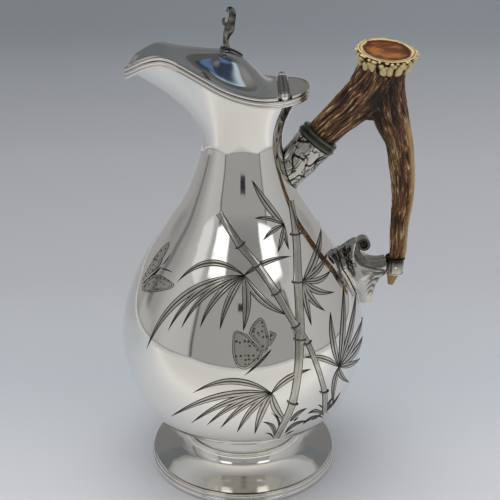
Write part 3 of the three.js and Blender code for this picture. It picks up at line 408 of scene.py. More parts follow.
def body_radius(angle, height):
    """Radius of the pot's outside at an angle and a height, read off the table between its entries."""
    a = (np.asarray(angle) + math.pi) / FULL_TURN * (len(TABLE_ANGLES) - 1)
    h = np.clip((np.asarray(height) - BODY_BOTTOM) / 0.25, 0, len(TABLE_HEIGHTS) - 1.001)
    i, j = np.clip(a.astype(int), 0, len(TABLE_ANGLES) - 2), h.astype(int)
    u, v = a - i, h - j
    return ((RADIUS_TABLE[i, j] * (1 - u) + RADIUS_TABLE[i + 1, j] * u) * (1 - v)
            + (RADIUS_TABLE[i, j + 1] * (1 - u) + RADIUS_TABLE[i + 1, j + 1] * u) * v)


def outside_body(points):
    """How far points lie outside the pot, measured level."""
    x, y, z = points[..., 0], points[..., 1], points[..., 2]
    return np.hypot(x, y) - body_radius(np.arctan2(y, x), z)


# Materials


def to_linear(colour):
    """sRGB hex value as linear red, green and blue."""
    parts = np.array([(colour >> shift & 255) / 255 for shift in (16, 8, 0)])
    linear = np.where(parts <= 0.04045, parts / 12.92, ((parts + 0.055) / 1.055) ** 2.4)
    return tuple(float(part) for part in linear)


def set_inputs(tree, node, inputs):
    """Gives a node its inputs. Each is a value, or an output that is linked to it."""
    for key, value in inputs.items():
        if isinstance(value, bpy.types.NodeSocket):
            tree.links.new(value, node.inputs[key])
        else:
            node.inputs[key].default_value = value


def add_node(tree, kind, inputs=None, **settings):
    """Adds a node with its settings and inputs."""
    node = tree.nodes.new("ShaderNode" + kind)
    for key, value in settings.items():
        setattr(node, key, value)
    set_inputs(tree, node, inputs or {})
    return node


def set_ramp(node, stops):
    """Gives a colour ramp its stops, each a place and a hex colour, a linear colour or a grey, and returns
    its colour."""
    elements = node.color_ramp.elements
    while len(elements) < len(stops):
        elements.new(0.5)
    for element, (place, colour) in zip(elements, stops):
        if isinstance(colour, int):
            colour = to_linear(colour)
        element.position = place
        element.color = (colour, colour, colour, 1) if isinstance(colour, float) else (*colour, 1)
    return node.outputs["Color"]


def new_material(name):
    """A material, its tree, its shader and the place on the piece."""
    material = bpy.data.materials.new(name)
    material.use_nodes = True
    tree = material.node_tree
    return material, tree, tree.nodes["Principled BSDF"], add_node(tree, "TexCoord").outputs["Object"]


def polished_silver(settings, name="polished silver plate", soften=1.0):
    """Electroplated silver, raised by hand and burnished: a clear mirror, warm white, with a very faint
    waviness of about 12 mm and hair scratches that widen the highlights a little. Soften makes the mirror
    duller, as on the foot, which is rubbed each time the jug is set down."""
    material, tree, shader, place = new_material(name)
    wave = add_node(tree, "TexNoise", {"Vector": place, "Scale": 1 / (12 * MM), "Detail": 1.0}).outputs["Fac"]
    wipe = add_node(tree, "Mapping", {"Vector": place, "Scale": (1, 1, 9), "Rotation": (0.4, 0.3, 0)}).outputs[0]
    hair = add_node(tree, "TexNoise", {"Vector": wipe, "Scale": 1 / (6 * MM), "Detail": 3.0}).outputs["Fac"]
    rough = add_node(tree, "MapRange", {
        "Value": hair, "From Min": 0.35, "From Max": 0.7, "To Min": settings.roughness * soften,
        "To Max": settings.roughness * 1.9 * soften}).outputs[0]
    bump = add_node(tree, "Bump", {"Height": wave, "Strength": 0.05, "Distance": 0.4 * MM}).outputs[0]
    set_inputs(tree, shader, {"Base Color": (*settings.plate, 1), "Metallic": 1.0, "Roughness": rough,
                              "Normal": bump})
    return material


def relief_silver(name, dark, light, low, high, rough):
    """Cast and chased silver, oxidised and then rubbed bright on its ridges: the relief value goes from 0 in the
    hollows, which stay near black, to 1 on the ridges, and on the ferrule's lip it paints shade."""
    material, tree, shader, place = new_material(name)
    relief = add_node(tree, "Attribute", attribute_name="relief").outputs["Fac"]
    speck = add_node(tree, "TexNoise", {"Vector": place, "Scale": 1 / (0.9 * MM), "Detail": 3.0}).outputs["Fac"]
    uneven = add_node(tree, "Math", {0: speck, 1: 0.5}, operation="SUBTRACT").outputs[0]
    mixed = add_node(tree, "Math", {0: uneven, 1: 0.35, 2: relief}, operation="MULTIPLY_ADD").outputs[0]
    dark, light = to_linear(dark), to_linear(light)
    between = tuple((np.array(dark) + light) / 2)
    shade = set_ramp(add_node(tree, "ValToRGB", {"Fac": mixed}),
                     [(low, dark), ((low + high) / 2, between), (high, light)])
    bump = add_node(tree, "Bump", {"Height": speck, "Strength": 0.25, "Distance": 0.15 * MM}).outputs[0]
    set_inputs(tree, shader, {"Base Color": shade, "Metallic": 1.0, "Roughness": rough, "Normal": bump})
    return material


def engraved_silver(settings, name, hatch, spots=0.0):
    """Engraving on polished silver: bright metal between near-black outlines and midrib, cut by broken fine
    lines that run along it, and on the wings by punched spots and a second border line. Lengths are picture
    pixels."""
    material, tree, shader, place = new_material(name)
    inset, middle = (add_node(tree, "Attribute", attribute_name=key).outputs["Fac"] for key in ("inset", "middle"))
    edge = add_node(tree, "MapRange", {"Value": inset, "From Min": 1.15, "From Max": 0.62}).outputs[0]
    rib = add_node(tree, "MapRange", {"Value": middle, "From Min": 0.8, "From Max": 0.3}).outputs[0]
    wave = add_node(tree, "Math", {0: middle, 1: FULL_TURN / 1.25}, operation="MULTIPLY").outputs[0]
    wave = add_node(tree, "Math", {0: wave}, operation="SINE").outputs[0]
    cut = add_node(tree, "Math", {0: wave, 1: -0.9, 2: -0.15}, operation="MULTIPLY_ADD", use_clamp=True).outputs[0]
    cloud = add_node(tree, "TexNoise", {"Vector": place, "Scale": 1 / (5 * MM), "Detail": 2.0}).outputs["Fac"]
    broken = add_node(tree, "MapRange", {"Value": cloud, "From Min": 0.38, "From Max": 0.6,
                                         "To Max": hatch}).outputs[0]
    darks = [edge, rib, add_node(tree, "Math", {0: cut, 1: broken}, operation="MULTIPLY").outputs[0]]
    if spots:
        cell = add_node(tree, "TexVoronoi", {"Vector": place, "Scale": 1 / (2.3 * MM), "Randomness": 0.4})
        darks.append(add_node(tree, "MapRange", {"Value": cell.outputs["Distance"], "From Min": 0.36,
                                                 "From Max": 0.24, "To Max": spots}).outputs[0])
        away = add_node(tree, "Math", {0: inset, 1: 2.7}, operation="SUBTRACT").outputs[0]
        away = add_node(tree, "Math", {0: away}, operation="ABSOLUTE").outputs[0]
        darks.append(add_node(tree, "MapRange", {"Value": away, "From Min": 0.5, "From Max": 0.1}).outputs[0])
    dark = darks.pop()
    for other in darks:
        dark = add_node(tree, "Math", {0: dark, 1: other}, operation="MAXIMUM").outputs[0]
    shade = set_ramp(add_node(tree, "ValToRGB", {"Fac": dark}),
                     [(0.0, settings.engraved), (1.0, settings.engraved_line)])
    rough = add_node(tree, "MapRange", {"Value": dark, "To Min": 0.13, "To Max": 0.5}).outputs[0]
    set_inputs(tree, shader, {"Base Color": shade, "Metallic": 1.0, "Roughness": rough})
    return material


def antler_grain(tree, key):
    """Fine broken ridges along one axis of the antler, 1 on a ridge and 0 beside it."""
    place = add_node(tree, "Attribute", attribute_name=key).outputs["Vector"]
    ridges = []
    for width, length, strength in ((1.5, 16, 0.6), (0.8, 8, 0.4)):
        drawn = add_node(tree, "VectorMath", {0: place, 1: (1 / width, 1 / width, 1 / length)},
                         operation="MULTIPLY").outputs[0]
        wave = add_node(tree, "TexNoise", {"Vector": drawn, "Scale": 1.0, "Detail": 2.0}).outputs["Fac"]
        away = add_node(tree, "Math", {0: wave, 1: 0.5}, operation="SUBTRACT").outputs[0]
        size = add_node(tree, "Math", {0: away}, operation="ABSOLUTE").outputs[0]
        ridges.append(add_node(tree, "MapRange", {"Value": size, "From Max": 0.06, "To Min": strength,
                                                  "To Max": 0.0}).outputs[0])
    return add_node(tree, "Math", dict(enumerate(ridges)), operation="ADD").outputs[0]


def antler_finish(settings):
    """Natural stag antler: near-black furrows, red-brown walls and tan ridges that handling has polished,
    with a paler worn edge and tip on the tine, and painted shade that darkens the fork between beam and tine."""
    material, tree, shader, place = new_material("natural stag antler")
    ridge, smooth, crotch_shade, tine = (add_node(tree, "Attribute", attribute_name=key).outputs["Fac"]
                                   for key in ("ridge", "smooth", "crotch_shade", "tine"))
    grain = add_node(tree, "Mix", {"Factor": tine, "A": antler_grain(tree, "beam_place"),
                                   "B": antler_grain(tree, "tine_place")}).outputs["Result"]
    patch = add_node(tree, "TexNoise", {"Vector": place, "Scale": 1 / (9 * MM), "Detail": 2.0}).outputs["Fac"]
    speck = add_node(tree, "TexNoise", {"Vector": place, "Scale": 1 / (0.8 * MM), "Detail": 2.0}).outputs["Fac"]
    level = -0.155
    # Painted shade: the weight below 0 darkens the fork between beam and tine
    for value, weight in ((ridge, 0.54), (grain, 0.45), (patch, 0.45), (speck, 0.2), (crotch_shade, -0.22)):
        level = add_node(tree, "Math", {0: value, 1: weight, 2: level}, operation="MULTIPLY_ADD").outputs[0]
    shade = set_ramp(add_node(tree, "ValToRGB", {"Fac": level}), [
        (0.3, settings.furrow), (0.5, settings.wall), (0.68, 0x7A4F2A), (0.8, settings.ridge), (0.95, 0xD0BC90)])
    worn = add_node(tree, "MapRange", {"Value": level, "From Min": 0.1, "From Max": 0.42}).outputs[0]
    worn = add_node(tree, "Math", {0: worn, 1: smooth}, operation="MULTIPLY").outputs[0]
    pale = add_node(tree, "Mix", {"Factor": worn, "A": shade, "B": (*settings.worn, 1)},
                    data_type="RGBA").outputs["Result"]
    bump = add_node(tree, "Bump", {"Height": grain, "Strength": 0.7, "Distance": 0.5 * MM}).outputs[0]
    rough = add_node(tree, "MapRange", {"Value": level, "From Min": 0.3, "From Max": 0.8, "To Min": 0.7,
                                        "To Max": 0.36}).outputs[0]
    set_inputs(tree, shader, {"Base Color": pale, "Normal": bump, "Roughness": rough})
    return material


def burr_finish(settings):
    """Antler burr: cream pearls with dark brown between them, and a sawn and varnished face of amber with
    brown streaks and a brown edge inside a cream rim."""
    material, tree, shader, place = new_material("antler burr")
    pearl, face, reach = (add_node(tree, "Attribute", attribute_name=key).outputs["Fac"]
                          for key in ("pearl", "face", "reach"))
    spread = add_node(tree, "Mapping", {"Vector": place, "Scale": (0.55, 1.5, 1), "Rotation": (0, 0, 0.5)}).outputs[0]
    cloud = add_node(tree, "TexNoise", {"Vector": spread, "Scale": 1 / (6 * MM), "Detail": 5.0,
                                        "Roughness": 0.6}).outputs["Fac"]
    grain = add_node(tree, "TexNoise", {"Vector": place, "Scale": 1 / (0.7 * MM), "Detail": 3.0}).outputs["Fac"]
    stain = add_node(tree, "Math", {0: cloud, 1: 0.35, 2: pearl}, operation="MULTIPLY_ADD").outputs[0]
    stain = add_node(tree, "Math", {0: grain, 1: 0.3, 2: stain}, operation="MULTIPLY_ADD").outputs[0]
    crown = set_ramp(add_node(tree, "ValToRGB", {"Fac": stain}), [
        (0.4, 0x3A2414), (0.62, 0x7C5C36), (0.85, settings.pearl), (1.15, 0xCFBE90)])
    ring = add_node(tree, "Math", {0: cloud, 1: 0.5}, operation="SUBTRACT").outputs[0]
    ring = add_node(tree, "Math", {0: ring, 1: 0.35, 2: reach}, operation="MULTIPLY_ADD").outputs[0]
    amber = set_ramp(add_node(tree, "ValToRGB", {"Fac": ring}), [
        (0.0, 0x5A2E12), (0.3, 0x9A6022), (0.5, settings.amber), (0.64, 0x6E3814), (0.71, 0x3E1C0C),
        (0.76, 0x5A2E14), (0.8, 0xD3B983)])
    streak = add_node(tree, "MapRange", {"Value": cloud, "From Min": 0.5, "From Max": 0.58, "To Max": 0.8}).outputs[0]
    rim = add_node(tree, "MapRange", {"Value": reach, "From Min": 0.76, "From Max": 0.8}).outputs[0]
    shade = amber
    for factor, over in ((streak, (*to_linear(0x3E1C0C), 1)), (rim, amber)):
        shade = add_node(tree, "Mix", {"Factor": factor, "A": shade, "B": over}, data_type="RGBA").outputs["Result"]
    shade = add_node(tree, "Mix", {"Factor": face, "A": crown, "B": shade}, data_type="RGBA").outputs["Result"]
    bump = add_node(tree, "Bump", {"Height": grain, "Strength": 0.3, "Distance": 0.2 * MM}).outputs[0]
    rough = add_node(tree, "MapRange", {"Value": face, "To Min": 0.5, "To Max": 0.28}).outputs[0]
    set_inputs(tree, shader, {"Base Color": shade, "Normal": bump, "Roughness": rough})
    return material


# Body, mouth, lid and foot


def body_part(around=288, outside_rows=160, inside_rows=60):
    """Pot of one sheet: body_surface outside, the same drawn in by the wall inside, joined at the rim."""
    angle = round_angles(around)
    pot_rows = int(outside_rows * POT_SHARE)
    shares = np.concatenate([np.linspace(0, POT_SHARE, pot_rows + 1)[1:],
                             np.linspace(POT_SHARE, 1, outside_rows - pot_rows + 1)[1:]])
    inner = np.linspace(0, 1, inside_rows + 1)[1:]
    outside = body_surface(shares[:, None], angle, 0)
    inside = body_surface(inner[::-1][:, None], angle, -SHEET_WALL)
    return skin(np.concatenate([outside, inside]))


def mouth_run(start, end, stations, inset, base, section, looped):
    """Wire along the mouth's outline: its section (n, 2) of outward and upward places is set square to the
    outline and lifted to the parting line."""
    share = np.arange(stations) / stations if looped else np.linspace(0, 1, stations)
    angle = start + (end - start) * share
    here, before, after = (np.stack(mouth_outline(angle + nudge, inset), 1) for nudge in (0, -1e-3, 1e-3))
    run = unit(after - before)
    height = joint_height(mouth_outline(angle, 0)[0]) + base
    rings = np.stack([here[:, :1] + run[:, 1:] * section[:, 0], here[:, 1:] - run[:, :1] * section[:, 0],
                      height[:, None] + section[:, 1]], -1)
    return skin(rings, looped)


def reeded_section(thickness, height, reeds, groove):
    """Section of a wire with rounded reeds outside: the place outwards is a root of the sine's size."""
    share = np.linspace(0, 1, 12 * reeds + 1)
    swell = np.abs(np.sin(share * reeds * math.pi)) ** 0.5
    outside = np.stack([thickness * (1 - groove * (1 - swell)), share * height], 1)
    return np.vstack([[[0, 0]], outside, [[0, height]]])


def rim_wire(start, end, stations):
    """The lid's wire, which goes on round the heel plate."""
    section = reeded_section(LID_WIRE_THICKNESS, LID_WIRE_HEIGHT - SEAM, 1, 0.5)
    return mouth_run(start, end, stations, LID_WIRE_THICKNESS, SEAM, section, False)


def lid_part(from_x, to_x, stations, columns):
    """Sheet under lid_height: its top, and the same sheet lowered by the wall."""
    inset = LID_WIRE_THICKNESS + SEAM
    eased = 1 - np.cos(np.linspace(0, 1, stations) * math.pi / 2)
    x = (from_x + (to_x - from_x) * eased)[:, None]
    y = mouth_half_width(x, inset) * np.sin(np.linspace(-1, 1, columns) * math.pi / 2)
    top = np.stack([x + 0 * y, y, lid_height(x + 0 * y, y)], -1)
    bottom = top[:, ::-1] - [0, 0, SHEET_WALL]
    return skin(np.concatenate([top, bottom], 1))


# Foot and its wires. The sweep runs from the collar out to the groove over the base wire
FOOT_COLLAR_RADIUS, COLLAR_WIRE_HEIGHT, COLLAR_WIRE_RADIUS = 33.9, 19.0, 1.2
FOOT_WALL, FOOT_GROOVE_RADIUS, FOOT_GROOVE_HEIGHT, FOOT_TOP = 1.1, 55.0, 6.9, 26.6
FOOT_BASE_RADIUS, BASE_WIRE_WIDTH = 57.0, 5.0
# The foot's outside laps this far up over the seam with the body
FOOT_LAP = 0.8
# Reeds of the base wire: inset and height of the middle, then size outwards and upwards
LOWER_REED, UPPER_REED = (1.5, 1.75, 1.5, 1.7), (2.0, 4.45, 1.1, 1.05)
REED_DEGREES, REED_POINTS = 80, 14
SWEEP_RADII = np.array([0, 0.03, 0.12, 0.3, 0.56, 0.82, 1])
SWEEP_HEIGHTS = np.array([1, 0.78, 0.55, 0.33, 0.16, 0.06, 0])


def foot_part():
    """Hollow foot: an upright collar, then a sweep out to the groove, with an even wall."""
    sweep_top = COLLAR_WIRE_HEIGHT - COLLAR_WIRE_RADIUS
    sweep = np.stack([FOOT_COLLAR_RADIUS + SWEEP_RADII * (FOOT_GROOVE_RADIUS - FOOT_COLLAR_RADIUS),
                      FOOT_GROOVE_HEIGHT + SWEEP_HEIGHTS * (sweep_top - FOOT_GROOVE_HEIGHT)], 1)
    sweep = ring_spline(sweep, np.linspace(0, 1, 70))
    outside = np.vstack([[[FOOT_COLLAR_RADIUS, FOOT_TOP + FOOT_LAP]], sweep])
    inside = np.vstack([[[FOOT_COLLAR_RADIUS - FOOT_WALL, FOOT_TOP]], sweep - FOOT_WALL])
    return turned(np.vstack([outside, inside[::-1]]))


def ring_wire(radius, height, wire, count=20):
    """Round wire about the pot's axis."""
    arc = round_angles(count)[0]
    return turned(np.stack([radius + wire * np.cos(arc), height + wire * np.sin(arc)], 1))


def base_wire_part():
    """Base wire: two reeds outside over a flat underside."""
    top = FOOT_GROOVE_HEIGHT - FOOT_WALL - SEAM
    lower, upper = (bead(FOOT_BASE_RADIUS - inset, *reed, REED_DEGREES, REED_POINTS)
                    for inset, *reed in (LOWER_REED, UPPER_REED))
    inner = FOOT_BASE_RADIUS - BASE_WIRE_WIDTH
    return turned(np.vstack([[[inner, 0], [FOOT_BASE_RADIUS - 1.6, 0]], lower, upper,
                             [[FOOT_GROOVE_RADIUS - 0.5, top], [inner, top]]]))


# Socket and band on the beam's axis

BEAM_SLOPE = math.radians(51.6)
SOCKET_MOUTH = np.array([39.7, 0, 199.3])
BEAM_RUN = np.array([math.cos(BEAM_SLOPE), 0, math.sin(BEAM_SLOPE)])
BEAM_OUT = np.array([-math.sin(BEAM_SLOPE), 0, math.cos(BEAM_SLOPE)])
SIDEWAYS = np.array([0, 1.0, 0])
SOCKET_RADIUS, SOCKET_LENGTH, SOCKET_BORE, BORE_DEPTH = 11.2, 23.6, 8.8, 10.6
# How much the socket narrows towards the pot all round, and further on its under side
SOCKET_TAPER, SOCKET_UNDERCUT = 0.5, 1.8
# Bark: lines and finer cracks, each by cells round the socket and their length
BARK_LINES, BARK_CRACKS = (15, 7), (34, 4.5)
BARK_DEPTH, CRACK_DEPTH = 0.55, 0.5
BAND_LENGTH = 6.0
# Rings of the band: place along it, half width and radius of the middle
BAND_RINGS = ((1.65, 1.35, 10.45), (3.3, 0.32, 10.7), (4.8, 1.15, 10.2))


def beam_place(at, radius, angle):
    """Point at a distance along the beam's axis from the socket's mouth, a radius and an angle round it."""
    at, radius, angle = (np.asarray(value, float)[..., None] for value in np.broadcast_arrays(at, radius, angle))
    return (SOCKET_MOUTH + BEAM_RUN * at + BEAM_OUT * (radius * np.cos(angle))
            + SIDEWAYS * (radius * np.sin(angle)))


def socket_part(around=240, rows=90):
    """Tube whose lower end is cut to lie a seam off the pot: the cut is found along each line of the tube
    by halving, and bark furrows sink the outside."""
    angle = round_angles(around)

    def outer_radius(at):
        share = np.clip(-at / SOCKET_LENGTH, 0, 1)
        lower = 0.5 - 0.5 * np.cos(angle)
        return SOCKET_RADIUS - SOCKET_TAPER * share - SOCKET_UNDERCUT * share ** 1.5 * lower

    ends = np.linspace(0.08, 1, 10)[:, None]
    inside = np.full((len(ends), around), -36.0)
    bottom_at = found_by_halving(inside, np.full_like(inside, -1.0), lambda at: outside_body(
        beam_place(at, ends * outer_radius(at), angle)) > SEAM, 30)
    bottom = beam_place(bottom_at, ends * outer_radius(bottom_at), angle)
    share = np.linspace(0, 1, rows)[1:, None]
    at = bottom_at[-1] * (1 - share)
    (lines_round, line), (cracks_round, crack) = BARK_LINES, BARK_CRACKS
    lines = ring_noise(angle, lines_round, at / line + 40, 5, 0.9 * np.sin(at / 4.2))
    cracks = ring_noise(angle, cracks_round, at / crack + 9, 6, 0.6 * np.sin(at / 3))
    bark = np.clip(np.abs(2 * lines - 1) * 5, 0, 1) * (0.35 + 0.65 * np.clip(np.abs(2 * cracks - 1) * 4, 0, 1))
    deep = fade(at, 0, -1.2)
    wall = beam_place(at, outer_radius(at) - (BARK_DEPTH * (1 - bark) + CRACK_DEPTH * cracks) * deep, angle)
    bore = beam_place(np.array([[0.0], [-BORE_DEPTH]]), SOCKET_BORE, angle)
    relief = np.concatenate([np.zeros((len(ends), around)), bark, np.zeros((2, around))])
    return *skin(np.concatenate([bottom, wall, bore])), {"relief": relief}


def band_part():
    """Band with a wide ring, a fine ridge and a smaller ring, turned about the beam's axis."""
    profile = np.vstack([bead(reach, middle, half, half, 86, 15) for middle, half, reach in BAND_RINGS]
                        + [[[SOCKET_BORE, BAND_LENGTH]], [[SOCKET_BORE, SEAM]]])
    rings = beam_place(profile[:, 1:], profile[:, :1], round_angles(160))
    return *skin(rings, looped=True), {"relief": np.zeros(1)}


# Antler

# Sizes of the antler. The axes lie in the pot's middle plane, as places along X and up
SHANK_RADIUS = 8.5
BURR = np.array([76.4, 246.8])
BURR_RADIUS, BURR_HALF_HEIGHT = 17.3, 5.0
BURR_TILT, BURR_ROLL = math.radians(13), math.radians(4)
# Web that rounds the fork: its middle and radii
FORK_WEB, FORK_WEB_RADII = np.array([BURR[0] - 6.4, 0, BURR[1] - 29.8]), (7.5, 7, 5.6)
BEAM_SEED, TINE_SEED = 11, 23
# Furrows, broad and thin: cells round the antler and their length, and the weights of both on beam and tine
BROAD_FURROWS, THIN_FURROWS = (24, 20), (50, 13)
BEAM_WEIGHTS, TINE_WEIGHTS = (0.25, 0.75), (0.45, 0.55)
# The tine's largest radius inside the ferrule
TINE_IN_COLLAR = 4.3
VOLUTE_HEIGHT = BELLY_HEIGHT + 52.8
COLLAR_TOP, COLLAR_LENGTH = VOLUTE_HEIGHT - 5.3, 10.5
TINE_TIP = COLLAR_TOP - 18.0
COLLAR_MIDDLE = COLLAR_TOP - COLLAR_LENGTH / 2
BEAM_SHARES = np.array([0, 0.2, 0.43, 0.72, 1])
BEAM_BOWS = np.array([0, 0.1, 0.6, 1, 0]) * 2.3
beam_radius = evenly([1.03, 1.09, 1.21, 1.42, 1.53])
TINE_DROPS = np.array([0, 0.09, 0.17, 0.25, 0.33, 0.41, 0.56, 0.72, 0.84, 0.92, 1])
TINE_BOWS = np.array([0, -0.03, 0.11, 0.43, 0.81, 0.93, 1.01, 0.71, 0.56, 0.28, 0]) * 8.0
tine_radius = evenly([1, 0.96, 0.93, 0.855, 0.7, 0.67, 0.586, 0.49, 0.455, 0.4, 0.15])
TINE_TOP_RADIUS = 11.0


def beam_centre(t):
    """Axis of the beam in the middle plane: from inside the band to the burr, bowed to one side."""
    start = (SOCKET_MOUTH + BEAM_RUN * (BAND_LENGTH - 3))[[0, 2]]
    run = BURR - [2.4, 7.8] - start
    sag = np.array([run[1], -run[0]]) / np.hypot(*run)
    return ring_spline(start + run * BEAM_SHARES[:, None] + sag * BEAM_BOWS[:, None], t)


def tine_centre(t):
    """Axis of the tine in the middle plane: down from the burr to its tip, bowed outwards."""
    top = BURR[1] - 4.8
    lean = BELLY_RADIUS + 15.0 - BURR[0]
    return ring_spline(np.stack([BURR[0] + lean * TINE_DROPS + TINE_BOWS,
                                 top + (TINE_TIP - top) * TINE_DROPS], 1), t)


TINE_POINTS = tine_centre(np.linspace(0, 1, 400))
COLLAR_X = float(np.interp(-COLLAR_MIDDLE, -TINE_POINTS[:, 1], TINE_POINTS[:, 0]))


def round_bar(centre, radius, count=64):
    """Round bar along a curve in the middle plane."""
    angle = round_angles(count)
    return plane_bar(centre, radius[:, None] * np.cos(angle), radius[:, None] * np.sin(angle))


def antler_axes():
    """Both axes of the antler, sampled: places, directions, run lengths and radii."""
    axes = []
    t = np.linspace(0, 1, 160)
    for centre, share, radius, seed in ((beam_centre, beam_radius, SHANK_RADIUS, BEAM_SEED),
                                        (tine_centre, tine_radius, TINE_TOP_RADIUS, TINE_SEED)):
        places = centre(t)
        length = np.concatenate([[0], np.cumsum(np.hypot(*np.diff(places, axis=0).T))])
        axes.append((places, unit(np.gradient(places, axis=0)), length, radius * share(t), seed))
    return axes


def antler_furrows(points):
    """Ridge height 0 to 1 at points of the antler: long furrows, bent a little, run along the nearer axis,
    and the two sets are blended where beam and tine meet. Also where a point lies round and along each
    axis, for the finish, the share of the tine, and how much it lies on the tine's smooth outer edge or tip."""
    weights, heights, rolls = [], [], []
    for places, steps, length, radius, seed in antler_axes():
        near = np.argmin((points[:, None, 0] - places[:, 0]) ** 2 + (points[:, None, 2] - places[:, 1]) ** 2, 1)
        away = points[:, [0, 2]] - places[near]
        across = -steps[near, 1] * away[:, 0] + steps[near, 0] * away[:, 1]
        angle = np.arctan2(points[:, 1], across)
        reach = np.hypot(np.hypot(away[:, 0], away[:, 1]), points[:, 1]) / radius[near]
        weights.append(np.exp(-6 * reach))
        run = length[near] + (away * steps[near]).sum(1)
        turn = angle / FULL_TURN + 0.03 * ring_noise(angle, 6, run / 11 + 5, seed + 4, 20)
        (broad_round, broad_length), (thin_round, thin_length) = BROAD_FURROWS, THIN_FURROWS
        coarse = value_noise(turn * broad_round, run / broad_length + 30, broad_round, seed)
        middle = value_noise(turn * thin_round + 0.3, run / thin_length + 3, thin_round, seed + 1)
        thin = 1 - np.clip(np.abs(2 * middle - 1) * 2.6, 0, 1)
        broad = np.clip(np.abs(2 * coarse - 1) * 2.1, 0, 1)
        broad_weight, thin_weight = TINE_WEIGHTS if seed == TINE_SEED else BEAM_WEIGHTS
        heights.append(broad_weight * broad + thin_weight * thin)
        rolls.append(np.stack([9 * np.cos(angle), 9 * np.sin(angle), run], 1))
    total = weights[0] + weights[1]
    smooth = np.maximum(fade(np.cos(angle), 0.52, 0.22) * fade(run, 26, 12), fade(run, 112, 2))
    ridge = (weights[0] * heights[0] + weights[1] * heights[1]) / total
    share = np.clip((weights[1] / total - 0.5) * 4 + 0.5, 0, 1)
    return ridge, smooth * share, share, rolls


def antler_mesh(depth, voxel=0.45):
    """Beam, tine and the web between them melted into one skin, then furrowed inwards along its normals."""
    t = np.linspace(0, 1, 90)
    slim = TINE_TOP_RADIUS * tine_radius(t)
    slim = np.where(tine_centre(t)[:, 1] < COLLAR_TOP + 0.3, np.minimum(TINE_IN_COLLAR, slim), slim)
    vertices, faces, _ = joined([round_bar(beam_centre(t), SHANK_RADIUS * beam_radius(t)),
                                 round_bar(tine_centre(t), slim), skin(ellipsoid(FORK_WEB, FORK_WEB_RADII, 24, 40))])
    rough = new_mesh("antler_rough", vertices, faces)
    blank = add_object("antler_rough", rough)
    melt = blank.modifiers.new("melt", "REMESH")
    melt.mode, melt.voxel_size = "VOXEL", voxel * MM
    blank.modifiers.new("smooth", "SMOOTH").iterations = 4
    mesh = bpy.data.meshes.new_from_object(blank.evaluated_get(bpy.context.evaluated_depsgraph_get()))
    bpy.data.objects.remove(blank)
    bpy.data.meshes.remove(rough)
    mesh.name = "antler_handle"
    places, normals = np.empty((2, len(mesh.vertices) * 3), np.float32)
    mesh.vertices.foreach_get("co", places)
    mesh.vertex_normals.foreach_get("vector", normals)
    points = (places.reshape(-1, 3) - [AXIS_X, 0, 0]) / MM
    ridge, smooth, share, rolls = antler_furrows(points)
    sink = depth * (1 - ridge) * (1 - 0.75 * smooth)
    points = points - normals.reshape(-1, 3) * sink[:, None]
    mesh.vertices.foreach_set("co", (points * MM + [AXIS_X, 0, 0]).astype(np.float32).ravel())
    # Painted shade: the antler is coloured darker round the fork between beam and tine, where shade falls
    crotch_shade = np.exp(-((points[:, 0] - BURR[0]) ** 2 + (points[:, 2] - BURR[1] + 26) ** 2) / 14 ** 2)
    for key, values in (("ridge", ridge), ("smooth", smooth), ("crotch_shade", crotch_shade), ("tine", share)):
        set_attribute(mesh, key, values)
    for key, values in zip(("beam_place", "tine_place"), rolls):
        set_attribute(mesh, key, values, "FLOAT_VECTOR", "vector")
    mesh.update()
    return mesh


BURR_RADII = np.array([0.37, 0.70, 0.84, 0.93, 1, 0.97, 0.86, 0.74, 0.444, 0.074])
BURR_HEIGHTS = np.array([-1.45, -1.36, -1.12, -0.45, 0.2, 0.6, 0.72, 0.62, 0.5, 0.46])
# Rows of pearls: place along the profile, count, width and height
PEARL_ROWS = ((0.29, 17, 0.5, 0.13), (0.41, 27, 0.55, 0.055), (0.51, 33, 0.55, 0.045))


